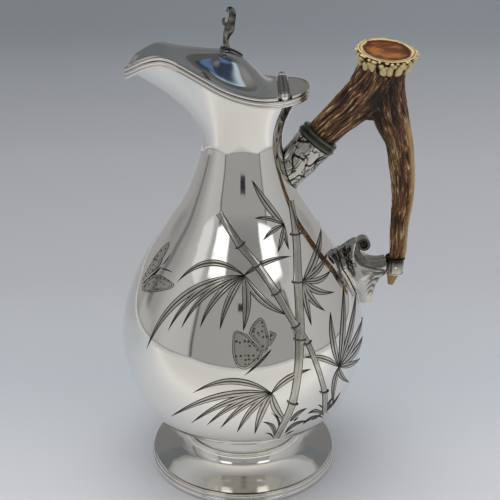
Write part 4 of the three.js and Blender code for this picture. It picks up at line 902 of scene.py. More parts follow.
def burr_part(around=480, rows=170):
    """Crown: a profile turned round, whose rim hangs down in a row of long irregular pearls with two rows of
    smaller ones and a thin rippled rim over them, about a flat hollow face. Tilted towards the front and
    rolled a little."""
    angle = round_angles(around)
    share = np.linspace(0, 1, rows)[:, None]
    profile = ring_spline(np.stack([BURR_RADII, BURR_HEIGHTS], 1), share[:, 0])
    radius, height = profile[:, :1], profile[:, 1:]
    random = np.random.default_rng(12)
    knobs = np.zeros((rows, around))
    for row_share, count, width, tall in PEARL_ROWS:
        for k in range(count):
            centre = (k + random.uniform(-0.32, 0.32)) / count * FULL_TURN
            spread = width * FULL_TURN / count * random.uniform(0.55, 1.1)
            turn = (angle - centre + math.pi) % FULL_TURN - math.pi
            lift = row_share + random.uniform(-0.035, 0.035)
            size = tall * random.uniform(0.7, 1.15)
            bump = np.clip(1 - np.abs(turn / spread) ** 2.4 - np.abs((share - lift) / size) ** 2.4, 0, 1) ** 0.45
            knobs = np.maximum(knobs, bump * random.uniform(0.7, 1))
    ripple = ring_noise(angle, 34, share * 16, 5)
    knobs = np.maximum(knobs, np.exp(-((share - 0.6) / 0.035) ** 2) * (0.55 + 0.45 * ripple))
    rim = np.exp(-((share - 0.36) / 0.24) ** 2)
    sink = 0.17 * rim * (1 - knobs)
    rough = ring_noise(angle, 60, share * 26, 3) - 0.5
    edge = ring_noise(angle, 19, share * 0 + 4, 6) - 0.5
    rim_top = np.exp(-((share - 0.56) / 0.13) ** 2)
    reach = BURR_RADIUS * radius * (1 - sink + 0.03 * rough * rim + 0.05 * edge * (rim + rim_top)) * 0.975
    level = BURR_HALF_HEIGHT * height + 0.5 * rough * rim + 0.7 * edge * rim_top
    points = np.stack([reach * np.cos(angle), reach * np.sin(angle), level + 0 * angle], -1)
    cosine, sine = math.cos(BURR_TILT), math.sin(BURR_TILT)
    lean = np.array([[1, 0, 0], [0, cosine, -sine], [0, sine, cosine]])
    cosine, sine = math.cos(BURR_ROLL), math.sin(BURR_ROLL)
    bank = np.array([[cosine, 0, sine], [0, 1, 0], [-sine, 0, cosine]])
    points = points @ (bank @ lean).T + [BURR[0], 0, BURR[1]]
    face = fade(share, 0.64, 0.03) + 0 * angle
    return *skin(points), {"pearl": knobs, "face": face, "reach": radius + 0 * angle}


# Lower bracket

COLLAR_BORE = 4.4
COLLAR_RADIUS = COLLAR_BORE + 0.8


def belly_x(y, height):
    """Place along X of the pot's outside at a place along Y and a height."""
    radius = body_radius(0.0, height)
    return np.sqrt(np.maximum(radius * radius - np.asarray(y) ** 2, 0))


def collar_part():
    """Ferrule: a tube with a rolled lip, slightly tapered. The lip is painted dark, as shade at the ferrule's open top.
    """
    bottom = COLLAR_TOP - COLLAR_LENGTH
    lip = bead(COLLAR_RADIUS + 0.1, COLLAR_TOP - 0.9, 0.5, 0.9)
    foot = bead(COLLAR_RADIUS - 0.35, bottom + 0.5, 0.3, 0.5)
    profile = np.vstack([[[COLLAR_BORE, bottom]], foot, lip, [[COLLAR_BORE, COLLAR_TOP]]])
    # Painted shade: the lip gets a low value, so it is coloured near black like the shade at the ferrule's open top
    relief = np.where(profile[:, 1] > COLLAR_TOP - 2, 0.3, 1.0)[:, None] + np.zeros(96)
    return *turned(profile, 96, COLLAR_X), {"relief": relief}


# The scroll's eye in the middle plane, then its half thickness and half width from the eye to the ferrule
SCROLL_EYE = np.array([68.9, 139.0])
scroll_half = evenly([0.5, 0.55, 0.6, 0.62, 0.65, 0.7, 0.75, 0.8, 0.85, 0.88, 0.9, 1.0, 1.3, 2.1, 2.8, 3.1, 3.2, 3])
scroll_wide = evenly([2.2, 2.3, 2.5, 2.7, 2.9, 3.1, 3.3, 3.4, 3.5, 3.6, 3.7, 3.8, 3.9, 4, 4, 4, 3.9, 3.6])
# Turns of the spiral in degrees, its first radius and growth, and the arm's places as far as the ferrule
SPIRAL_TURN, SPIRAL_START, SPIRAL_GROWTH = (-360, 90), 0.6, 3.4
SCROLL_ARM = [[65.7, 141.2], [65.4, 137.4], [66.8, 133.1], [69.8, 129.7], [74.2, 128.0], [78.8, 127.8],
              [COLLAR_X - COLLAR_RADIUS - 0.2, 128.9]]
# Radii of the plate behind the spiral
VOLUTE_PLATE = (3.6, 3.6, 2.0)


def scroll_curve(count):
    """Centre line: a spiral wound out from its eye, then down and out along the arm to the ferrule."""
    turn = np.radians(np.linspace(*SPIRAL_TURN, 11))
    radius = SPIRAL_START + SPIRAL_GROWTH * np.linspace(0, 1, 11)
    spiral = np.stack([SCROLL_EYE[0] + radius * np.cos(turn), SCROLL_EYE[1] + radius * np.sin(turn)], 1)
    return ring_spline(np.vstack([spiral, SCROLL_ARM]), np.linspace(0, 1, count))


def scroll_part(stations=300, points=64):
    """Scroll: a broad band that winds into a volute; each side of it is a channel between two raised rims."""
    t = np.linspace(0, 1, stations)
    arc = round_angles(points)
    side = np.sign(np.sin(arc)) * np.abs(np.sin(arc)) ** 0.55
    face = np.sign(np.cos(arc)) * np.abs(np.cos(arc)) ** 0.55
    rim = fade(np.abs(face), 0.5, 0.3)
    channel = 1 - 0.42 * (1 - rim ** 2)
    return *plane_bar(scroll_curve(stations), scroll_half(t)[:, None] * face,
                      scroll_wide(t)[:, None] * side * channel), {"relief": 0.45 + 0.55 * rim + 0 * t[:, None]}


def volute_web():
    """Thin plate that closes the spiral behind its rims."""
    plate = ellipsoid((*SCROLL_EYE, 0), VOLUTE_PLATE, 20, 48)[..., [0, 2, 1]]
    return *skin(plate), {"relief": np.full(1, 0.1)}


# The mouldings under the scroll: places, half thickness and half width
UNDER_MOULDINGS = (
    ([[64.2, 133.5], [65.6, 128.8], [68.5, 124.1], [72.8, 121.4], [78, 121.2], [82.2, 122.6]], 1.1, 4.2),
    ([[62.2, 130.5], [63.4, 126.0], [66.2, 121.2], [70.5, 118.4], [75.5, 118.0], [80.0, 119.2]], 0.7, 3.9))


def under_moulding(places, half, wide, points=28):
    """Moulding that follows the scroll's lower rim on the saddle."""
    t = np.linspace(0, 1, 90)
    arc = round_angles(points)
    taper = np.clip(np.minimum(t, 1 - t) / 0.12, 0.25, 1)[:, None]
    bar = plane_bar(ring_spline(np.array(places), t), half * taper * np.cos(arc),
                    (wide * np.sin(arc)) * np.sqrt(taper))
    return *bar, {"relief": np.clip(np.cos(arc) + 0.9, 0.2, 1) + 0 * taper}


SADDLE_HALF_WIDTH, SADDLE_LENGTH, SADDLE_GAP = 13.0, 39.0, 0.45
# From the saddle's top to its end: half width, how far the ridge stands out to the ferrule, and its half width
SADDLE_WIDTHS = [0.3, 0.74, 1, 0.92, 0.84, 0.78, 0.72, 0.6, 0.42, 0.27, 0.14]
SADDLE_RIDGES = [0.03, 0, 0.01, 0.1, 0.34, 0.97, 0.83, 0.71, 0.65, 0.625, 0.6]
SADDLE_RIDGE_WIDTHS = [0.33, 0.33, 0.33, 0.3, 0.24, 0.12, 0.11, 0.11, 0.11, 0.11, 0.11]


def saddle_part(rows=140, back_points=24, front_points=90):
    """Saddle: a shield that fits the belly and rises through hollow flanks to a ridge under the scroll.
    Across each row the front is a curve through shoulder, hollow, ridge, ridge, hollow and shoulder. Bark
    covers its upper wings, and veins its lower flanks."""
    share = np.linspace(0, 1, rows)
    width = SADDLE_HALF_WIDTH * evenly(SADDLE_WIDTHS)(share)
    ridge_width = SADDLE_HALF_WIDTH * evenly(SADDLE_RIDGE_WIDTHS)(share)
    ridge_share = evenly(SADDLE_RIDGES)(share)
    ridge_z = VOLUTE_HEIGHT + 4.7 - SADDLE_LENGTH * share
    z = ridge_z - 5.5 * (1 - share)
    start_x = SCROLL_EYE[0] - 4.7
    ridge_x = start_x + (COLLAR_X - COLLAR_RADIUS - start_x) * np.minimum(ridge_share, 0.95)
    shoulder_x = belly_x(width, z) + SADDLE_GAP + 2.2
    hollow_x = shoulder_x + 0.34 * (ridge_x - shoulder_x)
    hollow_y = width + (ridge_width - width) * 0.55
    back_y = np.linspace(1, -1, back_points)[None] * width[:, None]
    back_z = z[:, None] + 0 * back_y
    back = np.stack([belly_x(back_y, back_z) + SADDLE_GAP, back_y, back_z], -1)
    half = [np.stack(knot, 1) for knot in ((shoulder_x, width, z), (hollow_x, hollow_y, (z + ridge_z) / 2),
                                           (ridge_x, ridge_width, ridge_z))]
    knots = np.stack([knot * [1, -1, 1] for knot in half] + half[::-1])
    t = np.linspace(0, 1, front_points)
    front = ring_spline(knots.reshape(6, -1), t).reshape(front_points, rows, 3).transpose(1, 0, 2)
    across = np.abs(2 * t - 1)[None]
    down = share[:, None]
    veins = np.sin(down * 62 - np.abs(across - 0.36) * 26)
    web = np.exp(-((across - 0.36) / 0.2) ** 4) * fade(down, 0.42, 0.05) * fade(down, 0.9, -0.1)
    bark = value_noise(across * 24, down * 44, 64, 8) * 2 - 1
    wing = fade(down, 0.36, -0.06) * fade(across, 0.35, 0.1) * fade(across, 0.97, -0.03)
    leaf = 0.4 * veins * web + bark * wing
    normal = unit(np.cross(np.gradient(front, axis=1), np.gradient(front, axis=0)), 1e-9)
    front = front + normal * (0.4 * leaf)[..., None]
    relief = np.concatenate([np.ones_like(back_y), 1 - wing * (0.62 - 0.5 * bark) - web * (0.3 - 0.25 * veins)], 1)
    return *skin(np.concatenate([back, front], 1)), {"relief": relief}


# Hinge

HINGE_X, HINGE_HEIGHT = 22.0, JOINT_HEIGHT + 2.1
KNUCKLE_HALF_WIDTH, KNUCKLE_HALF_HEIGHT = 2.7, 1.7
HEEL_FRONT, LID_BACK = HINGE_X + KNUCKLE_HALF_WIDTH + SEAM, HINGE_X - KNUCKLE_HALF_WIDTH - SEAM
BOSS_RADIUS = 2.3
# Oval cells: distance along the hinge, place of their column, half length and half width, and their depth
CELL_PITCH, CELL_COLUMN, CELL_LENGTH, CELL_WIDTH, CELL_DEPTH = 2.2, 1.05, 0.9, 0.8, 0.3
KNUCKLES = (("hinge_knuckle_near", -21.6, -13.4, "pot"), ("lid_knuckle_near", -13.1, -4.7, "lid"),
            ("hinge_knuckle_middle", -4.4, 4.4, "pot"), ("lid_knuckle_far", 4.7, 13.1, "lid"),
            ("hinge_knuckle_far", 13.4, 21.6, "pot"))


def knuckle_part(from_y, to_y):
    """Knuckle: a squared oval section along Y, sunk on top round two columns of oval cells."""
    y = np.linspace(from_y, to_y, max(int((to_y - from_y) / 0.16), 8))[:, None]
    arc = round_angles(72)
    square = (np.abs(np.cos(arc)) ** 3 + np.abs(np.sin(arc)) ** 3) ** (-1 / 3)
    x, z = KNUCKLE_HALF_WIDTH * square * np.cos(arc), KNUCKLE_HALF_HEIGHT * square * np.sin(arc)
    top = fade(np.sin(arc), 0.25, 0.2)
    column = (np.abs(x) - CELL_COLUMN) / CELL_WIDTH
    along = (y / CELL_PITCH - np.round(y / CELL_PITCH)) * CELL_PITCH / CELL_LENGTH
    cell = np.clip(1.25 - np.sqrt(column ** 2 + along ** 2), 0, 0.5) * 2
    relief = np.maximum(cell, fade(np.abs(x), 2.3, 0.2))
    drop = CELL_DEPTH * (1 - relief) * top
    rings = np.stack([HINGE_X + x + 0 * y, y + 0 * x, HINGE_HEIGHT + z - drop], -1)
    return *skin(rings), {"relief": 1 - top * (1 - relief)}


def boss_part(side):
    """Round end of the hinge, a ball."""
    middle = [HINGE_X, side * (KNUCKLES[-1][2] + SEAM + BOSS_RADIUS),
              JOINT_HEIGHT + float(joint_rise(HINGE_X)) + SEAM + BOSS_RADIUS]
    return *skin(ellipsoid(middle, (BOSS_RADIUS,) * 3, 28, 48, 0.03)), {"relief": np.ones(1)}


# Finial

FINIAL_X, FINIAL_HEIGHT, FINIAL_STEM = -8.0, 22.0, 1.5
FINIAL_BASE = float(lid_height(np.array(FINIAL_X), np.array(0.0)))
# Stem and curl: places along X and up in shares of the finial's height, and thickness in shares of the stem
STEM = ([0, -0.025, 0, 0.062, 0.107, 0.14, 0.124, 0.062, 0.008],
        [0.06, 0.21, 0.37, 0.51, 0.66, 0.83, 0.95, 0.985, 0.93], [1.3, 1.1, 1.5, 2.0, 1.6, 1.4, 1.1, 0.8, 0.6])
CURL = [0.09, -0.01, -0.07, -0.075, -0.035], [0.6, 0.61, 0.66, 0.74, 0.77], [0.9, 0.75, 0.6, 0.5, 0.4]
STUD_DROP, STUD_LENGTH, STUD_RADIUS = 6.9, 9.5, 1.1
# Leaves round the stem: direction and length, then half width and height of the arch
FOOT_LEAVES = ((0.0, 8.4), (math.radians(125), 5.2), (math.radians(-125), 5.2))
FOOT_LEAF_HALF_WIDTH, FOOT_LEAF_ARCH = 2.6, 1.7


def finial_bar(reaches, rises, swells, stations):
    """Bar with a groove along each side, through places in shares of the finial's height."""
    points = np.stack([FINIAL_X + np.array(reaches) * FINIAL_HEIGHT,
                       FINIAL_BASE + np.array(rises) * FINIAL_HEIGHT], 1)
    t = np.linspace(0, 1, stations)
    arc = round_angles(28)
    radius = FINIAL_STEM * evenly(swells)(t)[:, None]
    groove = 1 - 0.22 * np.exp(-(np.sin(arc) / 0.3) ** 2)
    bar = plane_bar(ring_spline(points, t), radius * np.cos(arc) * groove, radius * np.sin(arc))
    relief = np.clip(groove * 4.5 - 3.5, 0, 1) * (0.35 + 0.65 * value_noise(arc, t[:, None] * 14, 8, 2))
    return *bar, {"relief": relief}


def finial_parts():
    """Stem, the curl that leaves it, and the stud below."""
    height = FINIAL_BASE - STUD_DROP + np.linspace(0, STUD_LENGTH, 6)
    stud = round_bar(np.stack([FINIAL_X + 0 * height, height], 1), np.full(6, STUD_RADIUS), 20)
    return [finial_bar(*STEM, 90), finial_bar(*CURL, 40), (*stud, {"relief": np.ones(1)})]


def leaf_foot_parts():
    """Three leaves that lie on the dome, each a grid along and across with an arched back and veins."""
    parts = []
    along, across = np.linspace(0, 1, 40)[:, None], np.linspace(-1, 1, 25)[None]
    for turn, length in FOOT_LEAVES:
        half = FOOT_LEAF_HALF_WIDTH * np.sin(math.pi * (0.3 + 0.62 * along))
        reach, side = along * length, across * half
        x = FINIAL_X + reach * math.cos(turn) - side * math.sin(turn)
        y = reach * math.sin(turn) + side * math.cos(turn)
        arch = np.cos(across * math.pi / 2) * (1 - 0.5 * along)
        vein = 0.5 + 0.5 * np.cos(across * 9 + 6 * along)
        lift = FOOT_LEAF_ARCH * (0.45 + 0.55 * arch) - 0.3 * (1 - vein) * np.cos(across * math.pi / 2)
        ground = lid_height(x, y) + SEAM
        top = np.stack([x, y, ground + lift], -1)
        bottom = np.stack([x, y, ground], -1)[:, ::-1]
        relief = np.concatenate([vein, np.ones_like(vein)], 1)
        parts.append((*skin(np.concatenate([top, bottom], 1)), {"relief": relief}))
    return parts


# Engraving, laid out on the front view's picture plane and carried onto the belly along the lines of sight

CAMERA = np.array([4.21, -510.0, 349.36])
CAMERA_PITCH = math.radians(22.783)
FOCAL_PIXELS, PICTURE_MIDDLE = 962.4, 250.0
# How far the underside of each engraved piece sinks into the sheet
ENGRAVING_SINK = 0.35
# Distance to the midrib on a piece that has none
NO_MIDRIB = 3
# Stations from one node of a cane to the next
NODE_STATIONS = 34


def onto_body(u, v, lift):
    """Points where the lines of sight through picture places meet the pot, found by halving between the
    camera and the line's nearest point to the axis, and lifted off along the surface's normal."""
    right = (np.asarray(u, float) - PICTURE_MIDDLE) / FOCAL_PIXELS
    down = (np.asarray(v, float) - PICTURE_MIDDLE) / FOCAL_PIXELS
    ahead = np.array([0, math.cos(CAMERA_PITCH), -math.sin(CAMERA_PITCH)])
    upward = np.array([0, math.sin(CAMERA_PITCH), math.cos(CAMERA_PITCH)])
    ray = np.array([1.0, 0, 0]) * right[..., None] + ahead - upward * down[..., None]
    level = ray[..., 0] ** 2 + ray[..., 1] ** 2
    inside = -(CAMERA[0] * ray[..., 0] + CAMERA[1] * ray[..., 1]) / level
    reach = found_by_halving(inside, inside - 120.0, lambda at: outside_body(CAMERA + ray * at[..., None]) > 0, 34)
    points = CAMERA + ray * reach[..., None]
    angle, height = np.arctan2(points[..., 1], points[..., 0]), points[..., 2]
    slope = body_radius(angle, height + 0.5) - body_radius(angle, height - 0.5)
    normal = unit(np.stack([np.cos(angle), np.sin(angle), -slope], -1))
    return points + normal * np.asarray(lift)[..., None]


# Fans of leaves: the fan's middle, then the tip of each leaf with its droop and half width
LEAF_FANS = [
    ((284.2, 224.7), [(251.6, 179.5, 2, 4.0), (253.7, 218.4, -3, 2.6), (263.2, 240.5, -2, 2.6),
                      (277.5, 253, 1, 2.6), (289, 250, 1, 2.2)]),
    ((244.2, 275.3), [(291.6, 256.3, -4, 3.0), (176.8, 282.6, -16, 3.6), (146.3, 350, -20, 4.0),
                      (167.4, 332, -13, 3.2), (181, 329, -10, 3.0), (200, 328, -7, 3.2), (220, 330, -4, 3.4),
                      (243.2, 331, 3, 4.6), (288.4, 315.3, 6, 4.4)]),
    ((303.2, 280.5), [(321, 228, 4, 4.0), (327.4, 252, 4, 3.4), (331, 270, 5, 3.4), (334.7, 292, 5, 3.6),
                      (325.3, 311, 4, 3.6), (311.6, 325.8, 1, 3.2)]),
    ((338.9, 366.8), [(330.5, 311, 2, 3.2), (343.2, 283.7, 2, 3.0), (356, 292, 3, 2.8), (362.7, 317.3, 3, 3.0),
                      (362.7, 335.3, 4, 3.0), (360, 358.4, 2, 2.8), (349.5, 382.6, 3, 2.8),
                      (303.2, 357.4, -4, 3.2), (333, 404, -2, 2.6)]),
    ((271.6, 393.2), [(311.6, 369, -4, 3.4), (192.6, 393.2, -12, 3.4), (169.5, 417.4, -9, 3.6),
                      (190.5, 423.7, -7, 3.2), (206.3, 425.8, -6, 3.0), (220, 429, -5, 3.0),
                      (236.8, 433.2, -4, 3.2), (254.7, 434.2, -2, 3.8), (288.4, 422.6, 4, 4.2)]),
]
# Blades of grass at the foot of each cane: root, tip, droop and half width
TUFTS = [
    (273.8, 439.2, 264.2, 433.3, -2.5, 0.9), (274.5, 437, 262.5, 422, -5, 2.4), (278.5, 430, 270.4, 412.5, -4, 1.3),
    (290, 421.5, 307.5, 407.9, -1.5, 2.1), (285, 433, 308.3, 420.6, -3, 1.9), (285.8, 435, 295, 430.4, -0.5, 0.7),
    (293.3, 421.5, 299.2, 416.5, 0, 0.8), (324, 415, 307.5, 414, -3.5, 2.2), (323.6, 418, 315, 417.5, -1.5, 0.8),
    (321, 415.5, 302, 425, -2, 1.6), (318, 418, 311, 421.5, -1, 0.6), (322, 408, 317.5, 405, -1, 0.9),
    (320.5, 415, 341, 391, 2, 1.4), (319.5, 415, 333, 396, 1, 1.8),
]
# Outlines of the butterflies' wings
WINGS = [
    [(236.5, 330.1), (242.6, 332.4), (248, 335.1), (252.6, 340.5), (258, 345.8), (263, 353.9), (257.2, 361.2),
     (251.1, 367), (245.7, 369.7), (239.5, 368.5), (234.9, 362.8), (232.6, 355.1), (232.2, 342.8), (233.4, 332.8)],
    [(248.6, 333.6), (251.5, 325.8), (255.7, 320.5), (260.7, 317.4), (264.2, 320.5), (266.8, 328.2), (268.6, 335.1),
     (269, 344.3), (267.2, 350.5), (264.1, 353), (258.7, 345.2), (253.3, 339.8)],
    [(269.6, 330.5), (276.5, 334.3), (273.4, 341.2), (269.9, 346.4), (269.6, 338)],
    [(170.3, 240.8), (168.5, 248.3), (163.9, 256.9), (159.2, 266.9), (150, 274.3), (141.4, 282), (144.6, 274),
     (150.3, 264), (156.7, 253.3), (164.6, 244.7)],
    [(149.6, 276.6), (154.9, 274.4), (163.1, 276.3), (169.6, 280.4), (174.4, 285.1), (170.3, 289), (161.7, 291.1),
     (148.9, 292.6), (142.1, 290.4), (141.7, 286.9), (145.3, 281.1)],
]
# Bodies and feelers of the butterflies: root, tip, droop and half width
FEELERS = [(271.3, 349.5, 244.4, 375.6, 1, 1.6), (161.4, 266.3, 140.6, 284.4, 1, 1.3),
           (161.7, 265.4, 170.6, 252.2, 1.0, 0.6), (160.3, 268.3, 173.4, 272.8, -0.6, 0.7)]


def engraved_patch(u, v, lift, inset, middle):
    """Thin raised piece over a grid of picture places: its top is lifted off the sheet and its underside sinks
    into it. inset is the distance to the outline and middle the distance to the midrib."""
    top = onto_body(u, v, lift)
    low = onto_body(u, v, lift * 0 - ENGRAVING_SINK)[:, ::-1]
    attributes = {}
    for key, values in (("inset", inset), ("middle", middle)):
        values = values + 0 * u
        attributes[key] = np.concatenate([values, values[:, ::-1]], 1)
    return *skin(np.concatenate([top, low], 1)), attributes


def leaf_part(u0, v0, u1, v1, droop, half):
    """Leaf: a centre line that droops as a parabola from root to tip, a width that swells and runs to a
    point, and two arched halves with a valley along the midrib."""
    s = np.linspace(0, 1, 34)[:, None]
    c = np.linspace(-1, 1, 13)[None]
    run = np.array([u1 - u0, v1 - v0])
    side = np.array([-run[1], run[0]]) / float(np.hypot(*run))
    bow = 4 * s * (1 - s) * droop * np.sign(side[1] or 1)
    width = half * np.sin(math.pi * np.clip(s, 0.02, 0.992) ** 0.78) ** 0.8
    u = u0 + run[0] * s + side[0] * (bow + width * c)
    v = v0 + run[1] * s + side[1] * (bow + width * c)
    arch = np.sin(math.pi * np.abs(c)) ** 0.8 * 0.19 + 0.05 * (1 - c * c)
    return engraved_patch(u, v, arch * np.minimum(width / 2, 1) - 0.02, width * (1 - np.abs(c)), width * np.abs(c))


def wing_part(outline):
    """Wing: rings drawn in from its outline to its middle, nearly flat behind a raised border."""
    turn = np.linspace(0, 1, 97)[:-1]
    edge = ring_spline([*outline, outline[0]], turn)
    centre = edge.mean(0)
    ring = np.linspace(1, 0.04, 14)[:, None]
    u, v = (centre[k] + (edge[None, :, k] - centre[k]) * ring for k in (0, 1))
    size = np.hypot(*(edge - centre).T)[None]
    lift = 0.07 + 0.1 * np.exp(-((size * (1 - ring) - 1.3) / 0.8) ** 2) - 0.12 * (ring > 0.999)
    rows = np.concatenate([onto_body(u, v, lift)[::-1], onto_body(u, v, lift * 0 - ENGRAVING_SINK)])
    attributes = {"inset": size * (1 - ring), "middle": NO_MIDRIB + 0 * u}
    return *skin(rows), {key: np.concatenate([values[::-1], values]) for key, values in attributes.items()}


# Canes: places of the nodes and half width at each
STALKS = [
    ([(290.7, 200.5), (295.8, 233), (298, 280.5), (300, 339.5), (292.6, 402.6), (276.3, 437.5)],
     [3.2, 4.2, 4.8, 5.0, 4.2, 3.2]),
    ([(219, 213), (240, 244.7), (256.8, 264.7), (275.8, 292), (295.8, 325.8), (307.4, 342.6), (324.2, 391),
      (324.6, 413)], [3.6, 4.4, 4.4, 4.4, 3.8, 3.2, 3.0, 2.8]),
]


def stalk_parts():
    """Stalks: a rounded cane along a curve through its nodes, with a bent collar with two knobs over each."""
    parts = []
    c = np.linspace(-1, 1, 13)[None]
    for places, halves in STALKS:
        count = len(places) - 1
        t = np.linspace(0, 1, NODE_STATIONS * count)
        centre = ring_spline(places, t)
        step = unit(np.gradient(centre, axis=0))
        near = np.abs(t * count - np.round(t * count)) * NODE_STATIONS
        knot = np.exp(-(near / 2.4) ** 2)
        half = (np.interp(t * count, np.arange(count + 1), halves) * (0.93 + 0.12 * knot))[:, None]
        u = centre[:, :1] - step[:, 1:] * half * c
        v = centre[:, 1:] + step[:, :1] * half * c
        lift = 0.36 * np.sqrt(1 - 0.98 * c ** 2) - 0.08 + 0 * half
        parts.append(engraved_patch(u, v, lift, half * (1 - np.abs(c)), half * np.abs(c) + 0.55))
        across = np.linspace(-1, 1, 40)[:, None]
        for k in range(1, count):
            i = int(round(k / count * (len(t) - 1)))
            reach = float(half[i, 0]) + 1.5
            knob = 0.9 + 0.75 * np.exp(-((np.abs(across) - 0.92) / 0.1) ** 2)
            knob = knob * np.sqrt(1 - 0.99 * across ** 8)
            bow = 1.6 * (1 - across ** 2)
            u = centre[i, 0] - step[i, 1] * reach * across + step[i, 0] * (bow + knob * c)
            v = centre[i, 1] + step[i, 0] * reach * across + step[i, 1] * (bow + knob * c)
            lift = 0.06 + 0.36 * np.sqrt(np.clip(1 - across ** 2, 0, 1)) + 0.34 * knob * np.sqrt(1 - 0.98 * c ** 2)
            parts.append(engraved_patch(u, v, lift, knob * (1 - np.abs(c)) * 1.1, NO_MIDRIB + 0 * u))
    return parts


def mirrored(parts):
    """The same parts on the far side of the pot."""
    return [(vertices * [1, -1, 1], *rest) for vertices, *rest in parts]


# Settings that a user would change


def colour(name, description, value):
    return FloatVectorProperty(name=name, description=description, subtype="COLOR", size=3, min=0, max=1,
                               default=to_linear(value))


class JugSilver(bpy.types.PropertyGroup):
    plate: colour("Plate", "Colour of the polished silver", 0xF0EEE9)
    roughness: FloatProperty(name="Roughness", description="Roughness of the polished silver", min=0, max=1,
                             default=0.05, subtype="FACTOR")
    engraved: colour("Engraved", "Colour of the metal inside a leaf", 0xC9C5BC)
    engraved_line: colour("Engraved line", "Colour in the cuts of the graver", 0x2A2620)


class JugAntler(bpy.types.PropertyGroup):
    furrow: colour("Furrow", "Colour at the bottom of the furrows", 0x1D130C)
    wall: colour("Wall", "Colour between furrow and ridge", 0x5E3A20)
    ridge: colour("Ridge", "Colour of the rubbed ridges", 0xBC9F6E)
    worn: colour("Worn edge", "Colour of the smooth outer edge of the tine", 0xB3935A)
    pearl: colour("Pearls", "Colour of the crown of pearls", 0xBFA56E)
    amber: colour("Face", "Colour of the polished face", 0x935820)
    furrow_depth: FloatProperty(name="Furrow depth", description="Depth of the furrows", unit="LENGTH",
                                subtype="DISTANCE", min=0, max=0.003, default=1.0 * MM, precision=4)


class JugStage(bpy.types.PropertyGroup):
    lamp: FloatProperty(name="Lamp", description="Strength of the overhead light", min=0, default=3.5)
    room: FloatProperty(name="Room", description="Strength of the surrounding tent", min=0, default=1.0)


# Operators


class JugOperator:
    bl_options = {"REGISTER", "UNDO"}

    def execute(self, context):
        self.build(context.scene)
        return {"FINISHED"}


class JUG_OT_body(JugOperator, bpy.types.Operator):
    """Pear-shaped pot raised from sheet, with the neck drawn out into the mouth"""
    bl_idname = "jug.body"
    bl_label = "Body"

    def build(self, scene):
        add_piece("body_shell", [body_part()], polished_silver(scene.jug_silver), "pot")


class JUG_OT_mouth(JugOperator, bpy.types.Operator):
    """Reeded wire round the mouth and the wire round the heel plate"""
    bl_idname = "jug.mouth"
    bl_label = "Mouth wires"

    def build(self, scene):
        silver = polished_silver(scene.jug_silver)
        section = reeded_section(MOUTH_WIRE_THICKNESS, MOUTH_WIRE_HEIGHT, 2, 0.34)
        wire = mouth_run(0, FULL_TURN, 420, MOUTH_WIRE_THICKNESS, -MOUTH_WIRE_HEIGHT, section, True)
        start = heel_angle(HEEL_FRONT, LID_WIRE_THICKNESS)
        add_piece("mouth_wire", [wire], silver, "pot")
        add_piece("heel_wire", [rim_wire(-start, start, 120)], silver, "pot")
        plate = lid_part(HEEL_REACH - LID_WIRE_THICKNESS - 2 * SEAM, HEEL_FRONT, 60, 81)
        add_piece("heel_plate", [plate], silver, "pot")


class JUG_OT_lid(JugOperator, bpy.types.Operator):
    """Hooded lid with its wire"""
    bl_idname = "jug.lid"
    bl_label = "Lid"

    def build(self, scene):
        silver = polished_silver(scene.jug_silver)
        tip = -(SPOUT_REACH - LID_WIRE_THICKNESS - SEAM) + SEAM
        start = heel_angle(LID_BACK, 0)
        add_piece("lid_shell", [lid_part(tip, LID_BACK, 190, 121)], silver, "lid")
        add_piece("lid_wire", [rim_wire(start, FULL_TURN - start, 340)], silver, "lid")


class JUG_OT_foot(JugOperator, bpy.types.Operator):
    """Spun foot with its collar wire and base wire"""
    bl_idname = "jug.foot"
    bl_label = "Foot"

    def build(self, scene):
        silver = polished_silver(scene.jug_silver, "rubbed silver plate", 1.3)
        collar = ring_wire(FOOT_COLLAR_RADIUS + SEAM + COLLAR_WIRE_RADIUS, COLLAR_WIRE_HEIGHT, COLLAR_WIRE_RADIUS)
        for name, part in (("foot_shell", foot_part()), ("foot_collar_wire", collar),
                           ("foot_base_wire", base_wire_part())):
            add_piece(name, [part], silver, "pot")


class JUG_OT_hinge(JugOperator, bpy.types.Operator):
    """Five knuckles with two rows of oval cells, and the round ends"""
    bl_idname = "jug.hinge"
    bl_label = "Hinge"

    def build(self, scene):
        chased = relief_silver("chased hinge silver", 0x72716D, 0xD2D0CA, 0.3, 0.9, 0.25)
        for name, low, high, body in KNUCKLES:
            add_piece(name, [knuckle_part(low, high)], chased, body)
        silver = polished_silver(scene.jug_silver)
        add_piece("hinge_boss_near", [boss_part(-1)], silver, "pot")
        add_piece("hinge_boss_far", [boss_part(1)], silver, "pot")


class JUG_OT_handle(JugOperator, bpy.types.Operator):
    """Forked antler with its burr, the bark socket and the band"""
    bl_idname = "jug.handle"
    bl_label = "Handle"

    def build(self, scene):
        antler = scene.jug_antler
        mesh = antler_mesh(antler.furrow_depth / MM)
        finish_piece("antler_handle", mesh, antler_finish(antler), "pot", ["antler_handle"])
        add_piece("antler_burr", [burr_part()], burr_finish(antler), "pot", ["antler_handle"])
        bark = relief_silver("bark-textured silver", 0x25231F, 0xC8C5BE, 0.3, 0.95, 0.13)
        add_piece("upper_socket", [socket_part()], bark, "pot", sharp=60)
        dark = relief_silver("oxidised silver band", 0x5F615C, 0x8F918B, 0.0, 1.0, 0.28)
        add_piece("upper_socket_band", [band_part()], dark, "pot")


class JUG_OT_bracket(JugOperator, bpy.types.Operator):
    """Saddle, scroll and the ferrule that clasps the tine"""
    bl_idname = "jug.bracket"
    bl_label = "Bracket"

    def build(self, scene):
        cast = relief_silver("cast bracket silver", 0x2E2C28, 0xD0CDC6, 0.32, 1.0, 0.13)
        mouldings = [under_moulding(*moulding) for moulding in UNDER_MOULDINGS]
        add_piece("bracket_saddle", [saddle_part(), *mouldings], cast, "pot")
        add_piece("bracket_scroll", [scroll_part(), volute_web()], cast, "pot")
        add_piece("tine_collar", [collar_part()], cast, "pot")


